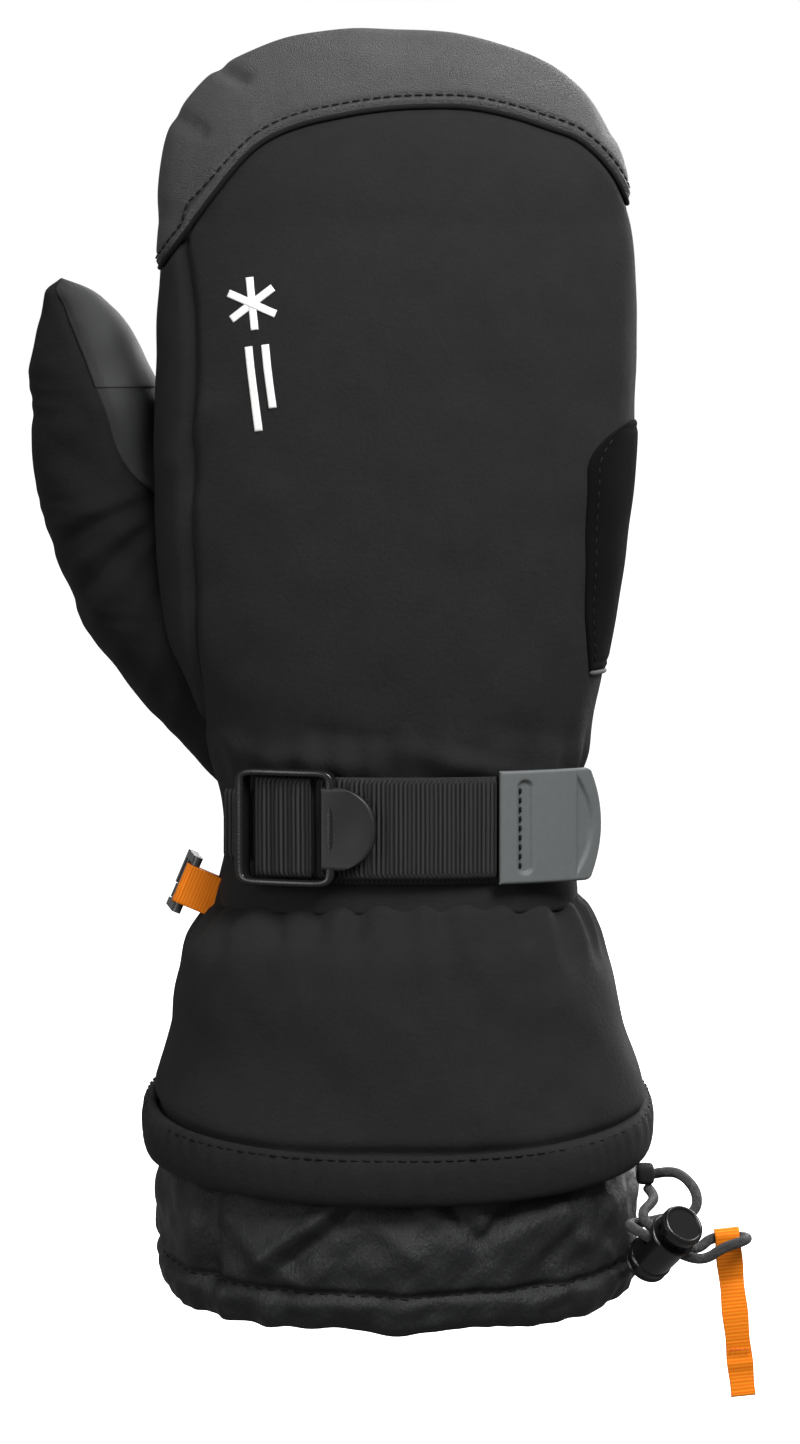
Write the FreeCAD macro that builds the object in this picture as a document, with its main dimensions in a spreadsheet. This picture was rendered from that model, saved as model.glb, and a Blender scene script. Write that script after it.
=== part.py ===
import FreeCAD, Part
import Sketcher
import math
import os

# Ski mitten for the right hand: back of the hand towards -Y, thumb towards -X, fingertips towards +Z.
# The origin is the centre of the cuff mouth. Millimetres throughout.

Vector = FreeCAD.Vector
doc = FreeCAD.newDocument("ski_mitten")
sheet = doc.addObject("Spreadsheet::Sheet", "size")
rows = {}
nodes = {}


def size(name, value):
    """Adds one driving dimension to the sheet."""
    row = len(rows) + 1
    sheet.set(f"A{row}", name)
    sheet.set(f"B{row}", str(value))
    sheet.setAlias(f"B{row}", name)
    rows[name] = value


def ring_sizes(name, height, half_width, half_depth, centre_x, centre_y):
    """One elliptical cross-section of the mitten: where it is and how large."""
    size(f"{name}_height", height)
    size(f"{name}_half_width", half_width)
    size(f"{name}_half_depth", half_depth)
    size(f"{name}_centre_x", centre_x)
    size(f"{name}_centre_y", centre_y)


# Hand, from the wrist seam up to the fingertip edge.
ring_sizes("wrist_seam", 94, 45.6, 31, -0.6, 0)
ring_sizes("wrist", 112, 44.8, 30, -0.2, 0)
ring_sizes("heel", 134, 48.6, 32.5, 0, 1)
ring_sizes("ball", 158, 56.0, 34.5, -3.4, 2)
ring_sizes("palm", 184, 58.8, 34.5, -2.8, 3)
ring_sizes("knuckle", 216, 60.0, 33, -1.6, 4)
ring_sizes("finger", 250, 59.9, 29.5, -0.2, 6)
ring_sizes("fingertip", 284, 54.0, 21, -1.2, 9)
ring_sizes("tip_bend", 300, 41.5, 12, -3.3, 11)
ring_sizes("tip_edge", 308.5, 19.5, 5, -4.5, 12)

# Gauntlet and snow cuff, whose hems tilt down towards the back of the hand.
ring_sizes("gauntlet_top", 94, 45.6, 31, -0.6, 0)
ring_sizes("gauntlet_puff", 84, 51.6, 36, -1.8, 0)
ring_sizes("gauntlet_mid", 62, 56.8, 41, -0.4, 0)
ring_sizes("gauntlet_low", 44, 61.6, 45, -0.4, 0)
ring_sizes("hem_top", 43.7, 61.8, 45.2, -0.4, 0)
ring_sizes("hem_mid", 38, 63.4, 46.6, -0.6, 0)
ring_sizes("hem_foot", 32, 62.2, 45.4, -0.6, 0)
ring_sizes("cuff_top", 50, 53.2, 37.2, -0.4, 0)
ring_sizes("cuff_neck", 36, 56.2, 39.8, -0.4, 0)
ring_sizes("cuff_mid", 24, 60.3, 44, -0.4, 0)
ring_sizes("cuff_low", 7, 60.3, 44, -0.4, 0)
ring_sizes("cuff_foot", 0, 58.4, 42.2, -0.4, 0)
size("hem_tilt", 12)

# Cloth and filling.
size("shell_wall", 1)
size("insert_wall", 0.4)
size("filling_wall", 6)
size("lining_wall", 0.9)
size("gauntlet_filling_wall", 2.6)
size("hem_wall", 3.4)
size("cuff_wall", 1)
size("overlay_wall", 0.8)
size("cuff_hem_height", 9)
size("print_wall", 0.3)
size("print_x", -36.4)
size("print_height", 242)
size("print_span", 13)
size("print_line", 1.9)
size("print_lean", 7)
size("thumb_filling_wall", 4.6)
size("padding_seam_y", 2.4)
size("elastic_drop", 14)
size("elastic_width", 8)

# Seams on the back of the hand, as places along X and heights.
size("cap_seam_left_x", -62)
size("cap_seam_left_height", 250)
size("cap_seam_shoulder_x", 40)
size("cap_seam_shoulder_height", 280)
size("cap_seam_top_height", 290)
size("cap_seam_shift", 8)
size("cap_seam_rise", 1)
size("cap_seam_right_x", 62)
size("cap_seam_right_height", 258)
size("gusset_seam_top_x", -56)
size("gusset_seam_x", -50.4)
size("gusset_seam_foot_x", -45)
size("patch_seam_x", 45)
size("patch_foot_height", 151)
size("patch_top_height", 213)
size("piping_width", 1.8)

# Thumb, from the heel of the hand up to its end. It bends away from the hand as it rises.
THUMB_RINGS = ("thumb_heel", "thumb_root", "thumb_base", "thumb_ball", "thumb_joint", "thumb_knuckle",
               "thumb_mid", "thumb_pad", "thumb_nail", "thumb_tip", "thumb_end")
ring_sizes("thumb_heel", 126, 8, 7.5, -42, 5)
ring_sizes("thumb_root", 136, 13, 12.5, -46, 7)
ring_sizes("thumb_base", 146, 17.8, 16, -49.8, 9)
ring_sizes("thumb_ball", 156, 21.5, 19, -54.5, 11)
ring_sizes("thumb_joint", 170, 22.8, 19.5, -60.8, 13)
ring_sizes("thumb_knuckle", 186, 20.5, 18.5, -68.5, 15)
ring_sizes("thumb_mid", 200, 17.8, 17.4, -73.8, 17)
ring_sizes("thumb_pad", 218, 16.3, 16, -76.3, 18)
ring_sizes("thumb_nail", 232, 12.7, 12.4, -78.7, 18.5)
ring_sizes("thumb_tip", 241, 7.8, 7.5, -81.8, 18.5)
ring_sizes("thumb_end", 245.6, 2.6, 2.5, -85, 18.5)
size("thumb_gap", 0.6)
size("thumb_seam_tip_x", -85.75)
size("thumb_seam_mid_x", -78)
size("thumb_seam_mid_height", 222)
size("thumb_seam_foot_x", -62)
size("thumb_seam_foot_height", 194)

# Wrist strap, bent round the back of the wrist about one upright axis.
size("strap_bend_radius", 67.6)
size("strap_bend_y", 37)
size("strap_height", 113.6)
size("webbing_width", 25.4)
size("webbing_wall", 1.5)
size("strap_gap", 0.4)
size("strap_under_left_x", -23)
size("strap_under_right_x", 45)
size("tail_left_x", -24.9)
size("tail_right_x", 22.4)
size("end_tab_right_x", 46.5)
size("end_tab_width", 28)
size("end_tab_wall", 3)
size("end_tab_bulge", 2.6)
size("end_tab_recess", 0.8)
size("end_tab_slot_x", 4.4)
size("end_tab_slot_width", 3)
size("end_tab_slot_border", 5)
size("end_tab_dent_x", 5.6)
size("end_tab_dent_width", 2)
size("end_tab_dent_border", 6)
size("stitch_x", 5)
size("stitch_width", 0.8)
size("stitch_length", 1.6)
size("stitch_height", 0.5)
size("stitch_pitch", 2.6)
size("side_tab_left_x", -42.5)
size("side_tab_width", 17.4)
size("buckle_left_x", -36.6)
size("buckle_right_x", -18)
size("lift_tab_right_x", -5.6)
size("buckle_width", 28.6)
size("buckle_wall", 4.6)
size("buckle_rail", 1.5)
size("buckle_bar", 2)
size("buckle_anchor_drop", 1.2)
size("buckle_middle_wall", 1.8)
size("buckle_end_bar", 3)
size("lift_tab_roundness", 0.86)
size("lift_tab_width", 21)

# Orange wrist loop, and the clip that joins a pair of mittens.
size("loop_webbing_width", 10)
size("loop_webbing_wall", 1.1)
size("clip_bar_radius", 1.2)
size("clip_bar_x", -53.2)
size("clip_bar_y", -3)
size("clip_bar_height", 97)
size("clip_lean", 23)
size("clip_width", 15)
size("clip_length", 10.5)
size("clip_wall", 2.4)
size("clip_frame", 2)
size("clip_turn", 100)
size("clip_mouth", 6.2)

# Cord lock, its button and the elastic drawcord.
size("cord_diameter", 2.6)
size("lock_x", 60)
size("lock_y", -25)
size("lock_z", 4.5)
size("lock_radius", 5.5)
size("lock_length", 15.6)
size("lock_wall", 1.2)
size("lock_hole_height", 12)
size("button_radius", 5.5)
size("button_height", 1.9)
size("button_travel", 3)
size("plunger_radius", 3.9)
size("running_gap", 0.3)
size("tab_webbing_width", 6.3)
size("tab_webbing_wall", 0.5)
size("spring_wire", 0.7)
size("spring_radius", 2.6)
size("tunnel_left_x", 58.6)
size("tunnel_front_y", -23.4)
size("tunnel_foot_height", 23.9)
size("tunnel_width", 4.6)
size("tunnel_depth", 10)
size("tunnel_height", 5)
size("tab_neck", 8)
size("tab_length", 40)
size("tab_x", 80.8)
size("tab_lean", 6)
size("loop_back_y", -28.1)
size("loop_height", 12.1)
doc.recompute()


def value(name):
    return float(sheet.get(name))


def keep(shape_object, label):
    """Names a finished sub-part and puts it on the list of files to write."""
    shape_object.Label = label
    nodes[label] = shape_object
    return shape_object


def feature(name, shape, placement=None):
    """A shape worked out from the sheet in code, and where it stands."""
    made = doc.addObject("Part::Feature", name)
    made.Shape = shape
    made.Placement = placement or FreeCAD.Placement()
    return made


def cut(name, base, *tools):
    """base without the tools, one after the other."""
    for number, tool in enumerate(tools):
        made = doc.addObject("Part::Cut", f"{name}_{number}")
        made.Base, made.Tool = base, tool
        base = made
    return base


def common(name, base, tool):
    made = doc.addObject("Part::Common", name)
    made.Base, made.Tool = base, tool
    return made


def ellipse(name, ring, inset, drop=0, narrow=1, thin=1, tilt="0"):
    """One section curve of a loft, drawn in by inset and lowered by drop times it."""
    made = doc.addObject("Part::Ellipse", name)
    made.Placement = FreeCAD.Placement(Vector(), FreeCAD.Rotation(Vector(1, 0, 0), 1))
    made.setExpression("MajorRadius", f"size.{ring}_half_width - {narrow} * ({inset})")
    made.setExpression("MinorRadius", f"size.{ring}_half_depth - {thin} * ({inset})")
    made.setExpression("Placement.Base.x", f"size.{ring}_centre_x")
    made.setExpression("Placement.Base.y", f"size.{ring}_centre_y")
    made.setExpression("Placement.Base.z", f"size.{ring}_height - {drop} * ({inset})")
    made.setExpression("Placement.Rotation.Angle", f"({tilt}) * 1 deg")
    return made


def loft(name, sections):
    made = doc.addObject("Part::Loft", name)
    made.Sections = sections
    made.Solid = True
    made.Ruled = False
    return made


def hand_body(name, inset):
    """The closed hand, drawn in by inset. Near its edge the wall is measured across the slope."""
    plain = ("wrist_seam", "wrist", "heel", "ball", "palm", "knuckle", "finger")
    rings = [ellipse(f"{name}_{ring}", ring, inset) for ring in plain]
    rings.append(ellipse(f"{name}_fingertip", "fingertip", inset, 0.5, 0.8, 0.8))
    rings.append(ellipse(f"{name}_tip_bend", "tip_bend", inset, 1, 0.55, 0.45))
    rings.append(ellipse(f"{name}_tip_edge", "tip_edge", inset, 1, 0.3, 0.3))
    return loft(name, rings)


def gauntlet_body(name, inset):
    """The flared gauntlet from the wrist seam down to its hem, drawn in by inset."""
    tilts = {"gauntlet_top": 0, "gauntlet_puff": 0.2, "gauntlet_mid": 0.6, "gauntlet_low": 1}
    return loft(name, [
        ellipse(f"{name}_{ring}", ring, inset, tilt=f"size.hem_tilt * {share}")
        for ring, share in tilts.items()
    ])


def tilted_body(name, inset, rings):
    """A band of the hem or the snow cuff, whose sections all tilt like the hem."""
    return loft(name, [
        ellipse(f"{name}_{ring}", ring, inset, tilt="size.hem_tilt") for ring in rings
    ])


def thumb_body(name, inset):
    """The bent thumb, drawn in by inset, with its root inside the hand."""
    drops = {"thumb_end": 1, "thumb_tip": 0.8, "thumb_nail": 0.4}
    narrows = {"thumb_end": 0.3, "thumb_tip": 0.6, "thumb_nail": 0.85}
    return loft(name, [
        ellipse(f"{name}_{ring}", ring, inset, drops.get(ring, 0), narrows.get(ring, 1), narrows.get(ring, 1))
        for ring in THUMB_RINGS
    ])


def outline_prism(name, points, low_y, high_y, smooth=0):
    """A flat outline in X and Z, its first few points joined by one smooth curve, swept along Y."""
    places = [Vector(x, low_y, z) for x, z in points]
    edges = []
    if smooth:
        curve = Part.BSplineCurve()
        curve.interpolate(places[:smooth])
        edges.append(curve.toShape())
    rest = places[max(smooth - 1, 0):] + places[:1]
    edges += [Part.makeLine(a, b) for a, b in zip(rest, rest[1:])]
    face = Part.Face(Part.Wire(edges))
    return feature(name, face.extrude(Vector(0, high_y - low_y, 0)))


# Outer skins of the hand, and the half-space of the palm side.
FAR = 90
hand_outer = hand_body("hand_outer", "0")
hand_shell_inner = hand_body("hand_shell_inner", "size.shell_wall")
hand_insert_inner = hand_body("hand_insert_inner", "size.shell_wall + size.insert_wall")
hand_filling_inner = hand_body(
    "hand_filling_inner", "size.shell_wall + size.insert_wall + size.filling_wall"
)
hand_lining_inner = hand_body(
    "hand_lining_inner",
    "size.shell_wall + size.insert_wall + size.filling_wall + size.lining_wall",
)
hand_overlay = hand_body("hand_overlay", "-size.overlay_wall")
hand_clearance = hand_body("hand_clearance", "-size.thumb_gap")
thumb_outer = thumb_body("thumb_outer", "0")
thumb_shell_inner = thumb_body("thumb_shell_inner", "size.shell_wall")
thumb_filling_inner = thumb_body("thumb_filling_inner", "size.shell_wall + size.thumb_filling_wall")
thumb_lining_inner = thumb_body(
    "thumb_lining_inner", "size.shell_wall + size.thumb_filling_wall + size.lining_wall"
)
doc.recompute()

hand_rings = ("wrist_seam", "wrist", "heel", "ball", "palm", "knuckle", "finger", "fingertip", "tip_edge")


def palm_side():
    """Everything on the palm side of the side seams, which follow the middle of the hand."""
    middle = [Vector(-FAR, value(f"{ring}_centre_y"), value(f"{ring}_height")) for ring in hand_rings]
    top, bottom = middle[-1] + Vector(0, 0, FAR), middle[0] - Vector(0, 0, FAR)
    back = [Vector(-FAR, FAR, top.z), Vector(-FAR, FAR, bottom.z)]
    outline = Part.makePolygon([bottom] + middle + [top] + back + [bottom])
    return feature("palm_side", Part.Face(outline).extrude(Vector(2 * FAR, 0, 0)))


def cap_outline():
    """The leather cap covers everything above an arched seam."""
    mid_x = value("tip_edge_centre_x")
    left = (value("cap_seam_left_x"), value("cap_seam_left_height"))
    right = (value("cap_seam_right_x"), value("cap_seam_right_height"))
    shoulder = (value("cap_seam_shoulder_x"), value("cap_seam_shoulder_height"))
    shift, rise = value("cap_seam_shift"), value("cap_seam_rise")
    far_shoulder = (mid_x - (shoulder[0] - mid_x) + shift, shoulder[1] + rise)
    return [left, far_shoulder, (mid_x + shift, value("cap_seam_top_height")), shoulder, right]


palm_half = palm_side()
seam = cap_outline()
sky = value("tip_edge_height") + FAR
cap_prism = outline_prism("cap_prism", seam + [(seam[-1][0] + FAR, sky), (-FAR * 2, sky)], -FAR, FAR, 5)
half_piping = value("piping_width") / 2
above = [(x, z + half_piping) for x, z in seam]
below = [(x, z - half_piping) for x, z in reversed(seam)]


def band_prism():
    """A narrow band that follows the arched seam."""
    edges = []
    for points in (above, below):
        curve = Part.BSplineCurve()
        curve.interpolate([Vector(x, -FAR, z) for x, z in points])
        edges.append(curve.toShape())
    for (x, z), (next_x, next_z) in ((above[-1], below[0]), (below[-1], above[0])):
        edges.append(Part.makeLine(Vector(x, -FAR, z), Vector(next_x, -FAR, next_z)))
    outline = Part.Wire(Part.__sortEdges__(edges))
    return feature("band_prism", Part.Face(outline).extrude(Vector(0, FAR, 0)))


piping_band = band_prism()
gusset_prism = outline_prism(
    "gusset_prism",
    [(value("gusset_seam_top_x") - 4, sky), (value("gusset_seam_top_x"), value("finger_height")),
     (value("gusset_seam_x"), value("knuckle_height")), (value("gusset_seam_x"), value("ball_height")),
     (value("gusset_seam_foot_x"), value("wrist_height")),
     (value("gusset_seam_foot_x"), value("wrist_seam_height") - 5), (-2 * FAR, 0), (-2 * FAR, sky)],
    -FAR, FAR,
)
patch_x, patch_foot, patch_top = value("patch_seam_x"), value("patch_foot_height"), value("patch_top_height")
patch_prism = outline_prism(
    "patch_prism",
    [(patch_x + 14, patch_top), (patch_x + 5, patch_top - 6.5), (patch_x + 1, patch_top - 15),
     (patch_x, patch_top - 35), (patch_x - 0.5, patch_foot), (patch_x + 8, patch_foot + 1.5),
     (FAR, patch_foot + 3), (FAR, patch_top + 3)],
    -FAR, FAR, 5,
)

# Hand panels, each its own piece of cloth, open where the thumb is sewn on.
hand_skin = cut("hand_skin", hand_outer, hand_shell_inner, thumb_lining_inner)
back_skin = cut("back_skin", hand_skin, palm_half)
keep(common("palm_panel", hand_skin, palm_half), "palm_panel")
keep(common("fingertip_cap", back_skin, cap_prism), "fingertip_cap")
below_cap = cut("below_cap", back_skin, cap_prism)
keep(common("index_side_panel", below_cap, gusset_prism), "index_side_panel")
keep(cut("back_panel", below_cap, gusset_prism), "back_panel")
overlay_skin = cut("overlay_skin", hand_overlay, hand_outer)
keep(common("cap_piping", cut("overlay_back", overlay_skin, palm_half), piping_band), "cap_piping")
keep(common("pinky_edge_patch", overlay_skin, patch_prism), "pinky_edge_patch")
keep(cut("waterproof_insert", hand_shell_inner, hand_insert_inner, thumb_lining_inner), "waterproof_insert")


def print_prism():
    """The printed motif seen from the front: a six-armed snow crystal over two plain bars, leaning."""
    span, line = value("print_span"), value("print_line")
    bars = [(0, 0, span, 30 + 60 * arm) for arm in range(3)]
    bars += [(-line, -1.6 * span, 1.6 * span, 90), (1.2 * line, -1.4 * span, 1.2 * span, 90)]
    solids = []
    for across, up, long, turn in bars:
        bar = Part.makeBox(long, FAR, line, Vector(-long / 2, -FAR, -line / 2))
        bar.Placement = FreeCAD.Placement(Vector(across, 0, up), FreeCAD.Rotation(Vector(0, 1, 0), turn))
        solids.append(bar)
    place = FreeCAD.Placement(
        Vector(value("print_x"), 0, value("print_height")),
        FreeCAD.Rotation(Vector(0, 1, 0), -value("print_lean")))
    return feature("print_prism", solids[0].multiFuse(solids[1:]).removeSplitter(), place)


print_skin = cut("print_skin", hand_body("print_outer", "-size.print_wall"), hand_outer)
keep(common("back_print", print_skin, print_prism()), "back_print")

elastic_inner = hand_body("elastic_inner", "size.shell_wall + size.insert_wall + size.lining_wall")
elastic_low = value("wrist_height") - value("elastic_drop")
elastic_slab = feature("elastic_slab", Part.makeBox(
    4 * FAR, 4 * FAR, value("elastic_width"), Vector(-2 * FAR, -2 * FAR, elastic_low)))
elastic_hoop = cut("elastic_hoop", hand_insert_inner, elastic_inner)
keep(common("wrist_elastic", elastic_hoop, elastic_slab), "wrist_elastic")
filling = cut("hand_filling", hand_insert_inner, hand_filling_inner, thumb_lining_inner)
padding = cut("padding", filling, nodes["wrist_elastic"])
padding_block = feature("padding_block", Part.makeBox(
    4 * FAR, FAR, 4 * FAR, Vector(-2 * FAR, value("padding_seam_y"), 0)))
keep(common("palm_insulation", padding, padding_block), "palm_insulation")
keep(cut("back_insulation", padding, padding_block), "back_insulation")
keep(cut("hand_lining", hand_filling_inner, hand_lining_inner, thumb_lining_inner), "hand_lining")

# Gauntlet: shell, filling and lining, then its puffy hem with the drawcord in it.
gauntlet_outer = gauntlet_body("gauntlet_outer", "0")
gauntlet_shell_inner = gauntlet_body("gauntlet_shell_inner", "size.shell_wall")
gauntlet_filling_inner = gauntlet_body(
    "gauntlet_filling_inner", "size.shell_wall + size.gauntlet_filling_wall"
)
gauntlet_lining_inner = gauntlet_body(
    "gauntlet_lining_inner", "size.shell_wall + size.gauntlet_filling_wall + size.lining_wall"
)
keep(cut("gauntlet_shell", gauntlet_outer, gauntlet_shell_inner), "gauntlet_shell")
keep(cut("gauntlet_insulation", gauntlet_shell_inner, gauntlet_filling_inner), "gauntlet_insulation")
keep(cut("gauntlet_lining", gauntlet_filling_inner, gauntlet_lining_inner), "gauntlet_lining")

HEM = ("hem_top", "hem_mid", "hem_foot")
CUFF = ("cuff_top", "cuff_neck", "cuff_mid", "cuff_low", "cuff_foot")


def hoop(name, ring, inset, radius, rise=0):
    """A round elastic that runs right round a tilted section, or rise above it."""
    centre = Vector(value(f"{ring}_centre_x"), value(f"{ring}_centre_y"), value(f"{ring}_height") + rise)
    turn = FreeCAD.Rotation(Vector(1, 0, 0), value("hem_tilt"))
    wide, deep = value(f"{ring}_half_width") - inset, value(f"{ring}_half_depth") - inset
    path = Part.Wire(Part.Ellipse(Vector(), wide, deep).toShape())
    start = Part.Wire(Part.Circle(Vector(wide, 0, 0), Vector(0, 1, 0), radius).toShape())
    return feature(name, path.makePipeShell([start], True, False), FreeCAD.Placement(centre, turn))


hem_outer = tilted_body("hem_outer", "0", HEM)
hem_inner = tilted_body("hem_inner", "size.hem_wall", HEM)
hem_cord = hoop("hem_drawcord", "hem_mid", value("hem_wall") / 2, value("cord_diameter") / 2)
keep(cut("gauntlet_hem_band", hem_outer, hem_inner, hem_cord), "gauntlet_hem_band")
keep(hem_cord, "hem_drawcord")

cuff_outer = tilted_body("cuff_outer", "0", CUFF)
cuff_inner = tilted_body("cuff_inner", "size.cuff_wall", CUFF)
cuff_hem_inner = tilted_body("cuff_hem_inner", "3 * size.cuff_wall + size.cord_diameter", CUFF)
cuff_elastic = hoop("cuff_elastic", "cuff_foot", value("cuff_wall") + value("cord_diameter") / 2,
                    value("cord_diameter") / 2, value("cord_diameter"))


def foot_slab():
    """Everything below the top of the snow cuff's turned hem."""
    turn = FreeCAD.Rotation(Vector(1, 0, 0), value("hem_tilt"))
    slab = Part.makeBox(4 * FAR, 4 * FAR, FAR, Vector(-2 * FAR, -2 * FAR, value("cuff_hem_height") - FAR))
    return feature("foot_slab", slab, FreeCAD.Placement(Vector(), turn))


hem_slab = foot_slab()
keep(cut("snow_cuff", cuff_outer, cuff_inner), "snow_cuff")
turned_hem = common("turned_hem", cut("turned_hem_ring", cuff_inner, cuff_hem_inner), hem_slab)
keep(cut("snow_cuff_hem", turned_hem, cuff_elastic), "snow_cuff_hem")
keep(cuff_elastic, "cuff_elastic")

# Thumb, trimmed to stand clear of the hand so that it can fold over the palm.
thumb_skin = cut("thumb_skin", thumb_outer, thumb_shell_inner, hand_clearance)
seam_tip = (value("thumb_seam_tip_x"), value("thumb_end_height") + 3)
seam_mid = (value("thumb_seam_mid_x"), value("thumb_seam_mid_height"))
seam_foot = (value("thumb_seam_foot_x"), value("thumb_seam_foot_height"))
nylon_prism = outline_prism(
    "nylon_prism",
    [(seam_tip[0] + 2, sky), seam_tip, seam_mid, (seam_foot[0] - 6, seam_foot[1] + 6), seam_foot,
     (0, seam_foot[1]), (0, 0), (-2 * FAR, 0), (-2 * FAR, sky)],
    -FAR, value("thumb_mid_centre_y") - 0.8,
)
keep(common("thumb_back_panel", thumb_skin, nylon_prism), "thumb_back_panel")
keep(cut("thumb_grip", thumb_skin, nylon_prism), "thumb_grip")
keep(cut("thumb_insulation", thumb_shell_inner, thumb_filling_inner, hand_clearance), "thumb_insulation")
keep(cut("thumb_lining", thumb_filling_inner, thumb_lining_inner, hand_clearance), "thumb_lining")


# Wrist strap. Its layers are bands of upright cylinders about the strap's bend.
def bent_band(name, inner, outer, left, right, width, height=None):
    """A band between two radii, from left to right, as wide as the webbing it is."""
    middle = value("strap_height") if height is None else height
    centre = Vector(0, value("strap_bend_y"), middle - width / 2)
    radius = value("strap_bend_radius")
    disc, hole = (Part.makeCylinder(radius + out, width, centre) for out in (outer, inner))
    ring = disc.cut(hole)
    window = Part.makeBox(right - left, radius + FAR, width, Vector(left, centre.y - radius - FAR, centre.z))
    return ring.common(window)


webbing, gap = value("webbing_wall"), value("strap_gap")
tail_inner = webbing + 2 * gap
bar, rail = value("buckle_bar"), value("buckle_rail")
buckle_top = tail_inner + value("buckle_wall")
tail_top = tail_inner + webbing
keep(feature("strap_under", bent_band(
    "strap_under", gap, gap + webbing, value("strap_under_left_x"), value("strap_under_right_x"),
    value("webbing_width"))), "strap_under")
keep(feature("strap_tail", bent_band(
    "strap_tail", tail_inner, tail_top, value("tail_left_x"), value("tail_right_x"),
    value("webbing_width"))), "strap_tail")


def end_tab():
    """Moulded rubber end of the strap: a bulged outer edge, a raised rim and two recesses."""
    left, right = value("tail_right_x") + gap, value("end_tab_right_x")
    wide, middle = value("end_tab_width"), value("strap_height")
    plate = bent_band("end_tab", tail_inner, tail_inner + value("end_tab_wall"), left, right, wide)
    bulge = value("end_tab_bulge")
    outline = Part.Wire([
        Part.makeLine(Vector(left, -FAR, middle - wide / 2), Vector(left, -FAR, middle + wide / 2)),
        Part.makeLine(Vector(left, -FAR, middle + wide / 2), Vector(right - bulge, -FAR, middle + wide / 2)),
        Part.Arc(Vector(right - bulge, -FAR, middle + wide / 2), Vector(right, -FAR, middle),
                 Vector(right - bulge, -FAR, middle - wide / 2)).toShape(),
        Part.makeLine(Vector(right - bulge, -FAR, middle - wide / 2), Vector(left, -FAR, middle - wide / 2)),
    ])
    plate = plate.common(Part.Face(outline).extrude(Vector(0, 2 * FAR, 0)))
    floor = tail_inner + value("end_tab_wall") - value("end_tab_recess")
    ceiling = floor + 2 * value("end_tab_wall")
    slot_left, dent_left = left + value("end_tab_slot_x"), right - value("end_tab_dent_x")
    slot = bent_band("slot", floor, ceiling, slot_left, slot_left + value("end_tab_slot_width"),
                     wide - value("end_tab_slot_border"))
    crescent = bent_band("crescent", floor, ceiling, dent_left, dent_left + value("end_tab_dent_width"),
                         wide - value("end_tab_dent_border"))
    return feature("strap_end_tab", plate.cut(slot).cut(crescent))


keep(end_tab(), "strap_end_tab")
stitch_x = value("tail_right_x") + gap + value("stitch_x")
stitch_foot = tail_inner + value("end_tab_wall") - value("end_tab_recess")
keep(feature("strap_end_stitches", Part.Compound([
    bent_band("stitch", stitch_foot, stitch_foot + value("stitch_height"), stitch_x,
              stitch_x + value("stitch_width"), value("stitch_length"),
              value("strap_height") + value("stitch_pitch") * step)
    for step in range(-4, 5)
])), "strap_end_stitches")


def buckle():
    """A ladder-lock: two rails, an anchor bar, a middle bar, and an end bar with a round lift tab."""
    left, right, wide = value("buckle_left_x"), value("buckle_right_x"), value("buckle_width")
    low, high = tail_inner, buckle_top
    middle = value("strap_height")
    offset = (wide - rail) / 2
    rails = [bent_band("rail", low, high, left, right + 2, rail, middle + side * offset) for side in (-1, 1)]
    anchor = bent_band("anchor", low, high - value("buckle_anchor_drop"), left, left + bar, wide)
    mid_left = left + 0.5 * (right - left)
    mid_bar = bent_band("middle", low, low + value("buckle_middle_wall"), mid_left, mid_left + bar, wide)
    end_bar = bent_band("end", tail_top + gap, high, right, right + value("buckle_end_bar"), wide)
    lift = bent_band("lift", tail_top + gap, high, right, value("lift_tab_right_x"), value("lift_tab_width"))
    reach = value("lift_tab_right_x") - right
    half = value("lift_tab_width") / 2
    centre_x = value("lift_tab_right_x") - math.hypot(half, reach) * value("lift_tab_roundness")
    round_off = Part.makeCylinder(value("lift_tab_right_x") - centre_x, 2 * FAR,
                                  Vector(centre_x, -2 * FAR, middle), Vector(0, 1, 0))
    solid = rails[0].multiFuse([rails[1], anchor, mid_bar, end_bar, lift.common(round_off)])
    return feature("buckle", solid.removeSplitter())


keep(buckle(), "buckle")
wrap_left = value("buckle_left_x") + bar + 1
wrap_right = value("buckle_right_x") - 1
inner_width = value("webbing_width") - 0.6
wrap_inner = tail_inner + value("buckle_middle_wall") + gap
keep(feature("strap_wrap", bent_band(
    "strap_wrap", wrap_inner, wrap_inner + webbing, wrap_left, wrap_right, inner_width)), "strap_wrap")
side_width = value("side_tab_width")
side_inner = bent_band("side_tab", gap, gap + webbing, value("side_tab_left_x"),
                       value("buckle_left_x") + bar + 1.4, side_width)
keep(feature("strap_side_tab", side_inner), "strap_side_tab")


# Orange loop of webbing at the wrist, folded round the bar of the clip.
def lean_frame(y, along, up):
    """A place on the clip, along and up in its leaning upright plane."""
    angle = math.radians(value("clip_lean"))
    side, rise = Vector(math.cos(angle), 0, -math.sin(angle)), Vector(math.sin(angle), 0, math.cos(angle))
    bar_centre = Vector(value("clip_bar_x"), value("clip_bar_y") + y, value("clip_bar_height"))
    return bar_centre + side * along + rise * up


def leaning_box(along, wide, y, deep, up, tall):
    box = Part.makeBox(wide, deep, tall, Vector(along, y, up))
    turn = FreeCAD.Rotation(Vector(0, 1, 0), value("clip_lean"))
    box.Placement = FreeCAD.Placement(lean_frame(0, 0, 0), turn)
    return box.copy()


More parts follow.
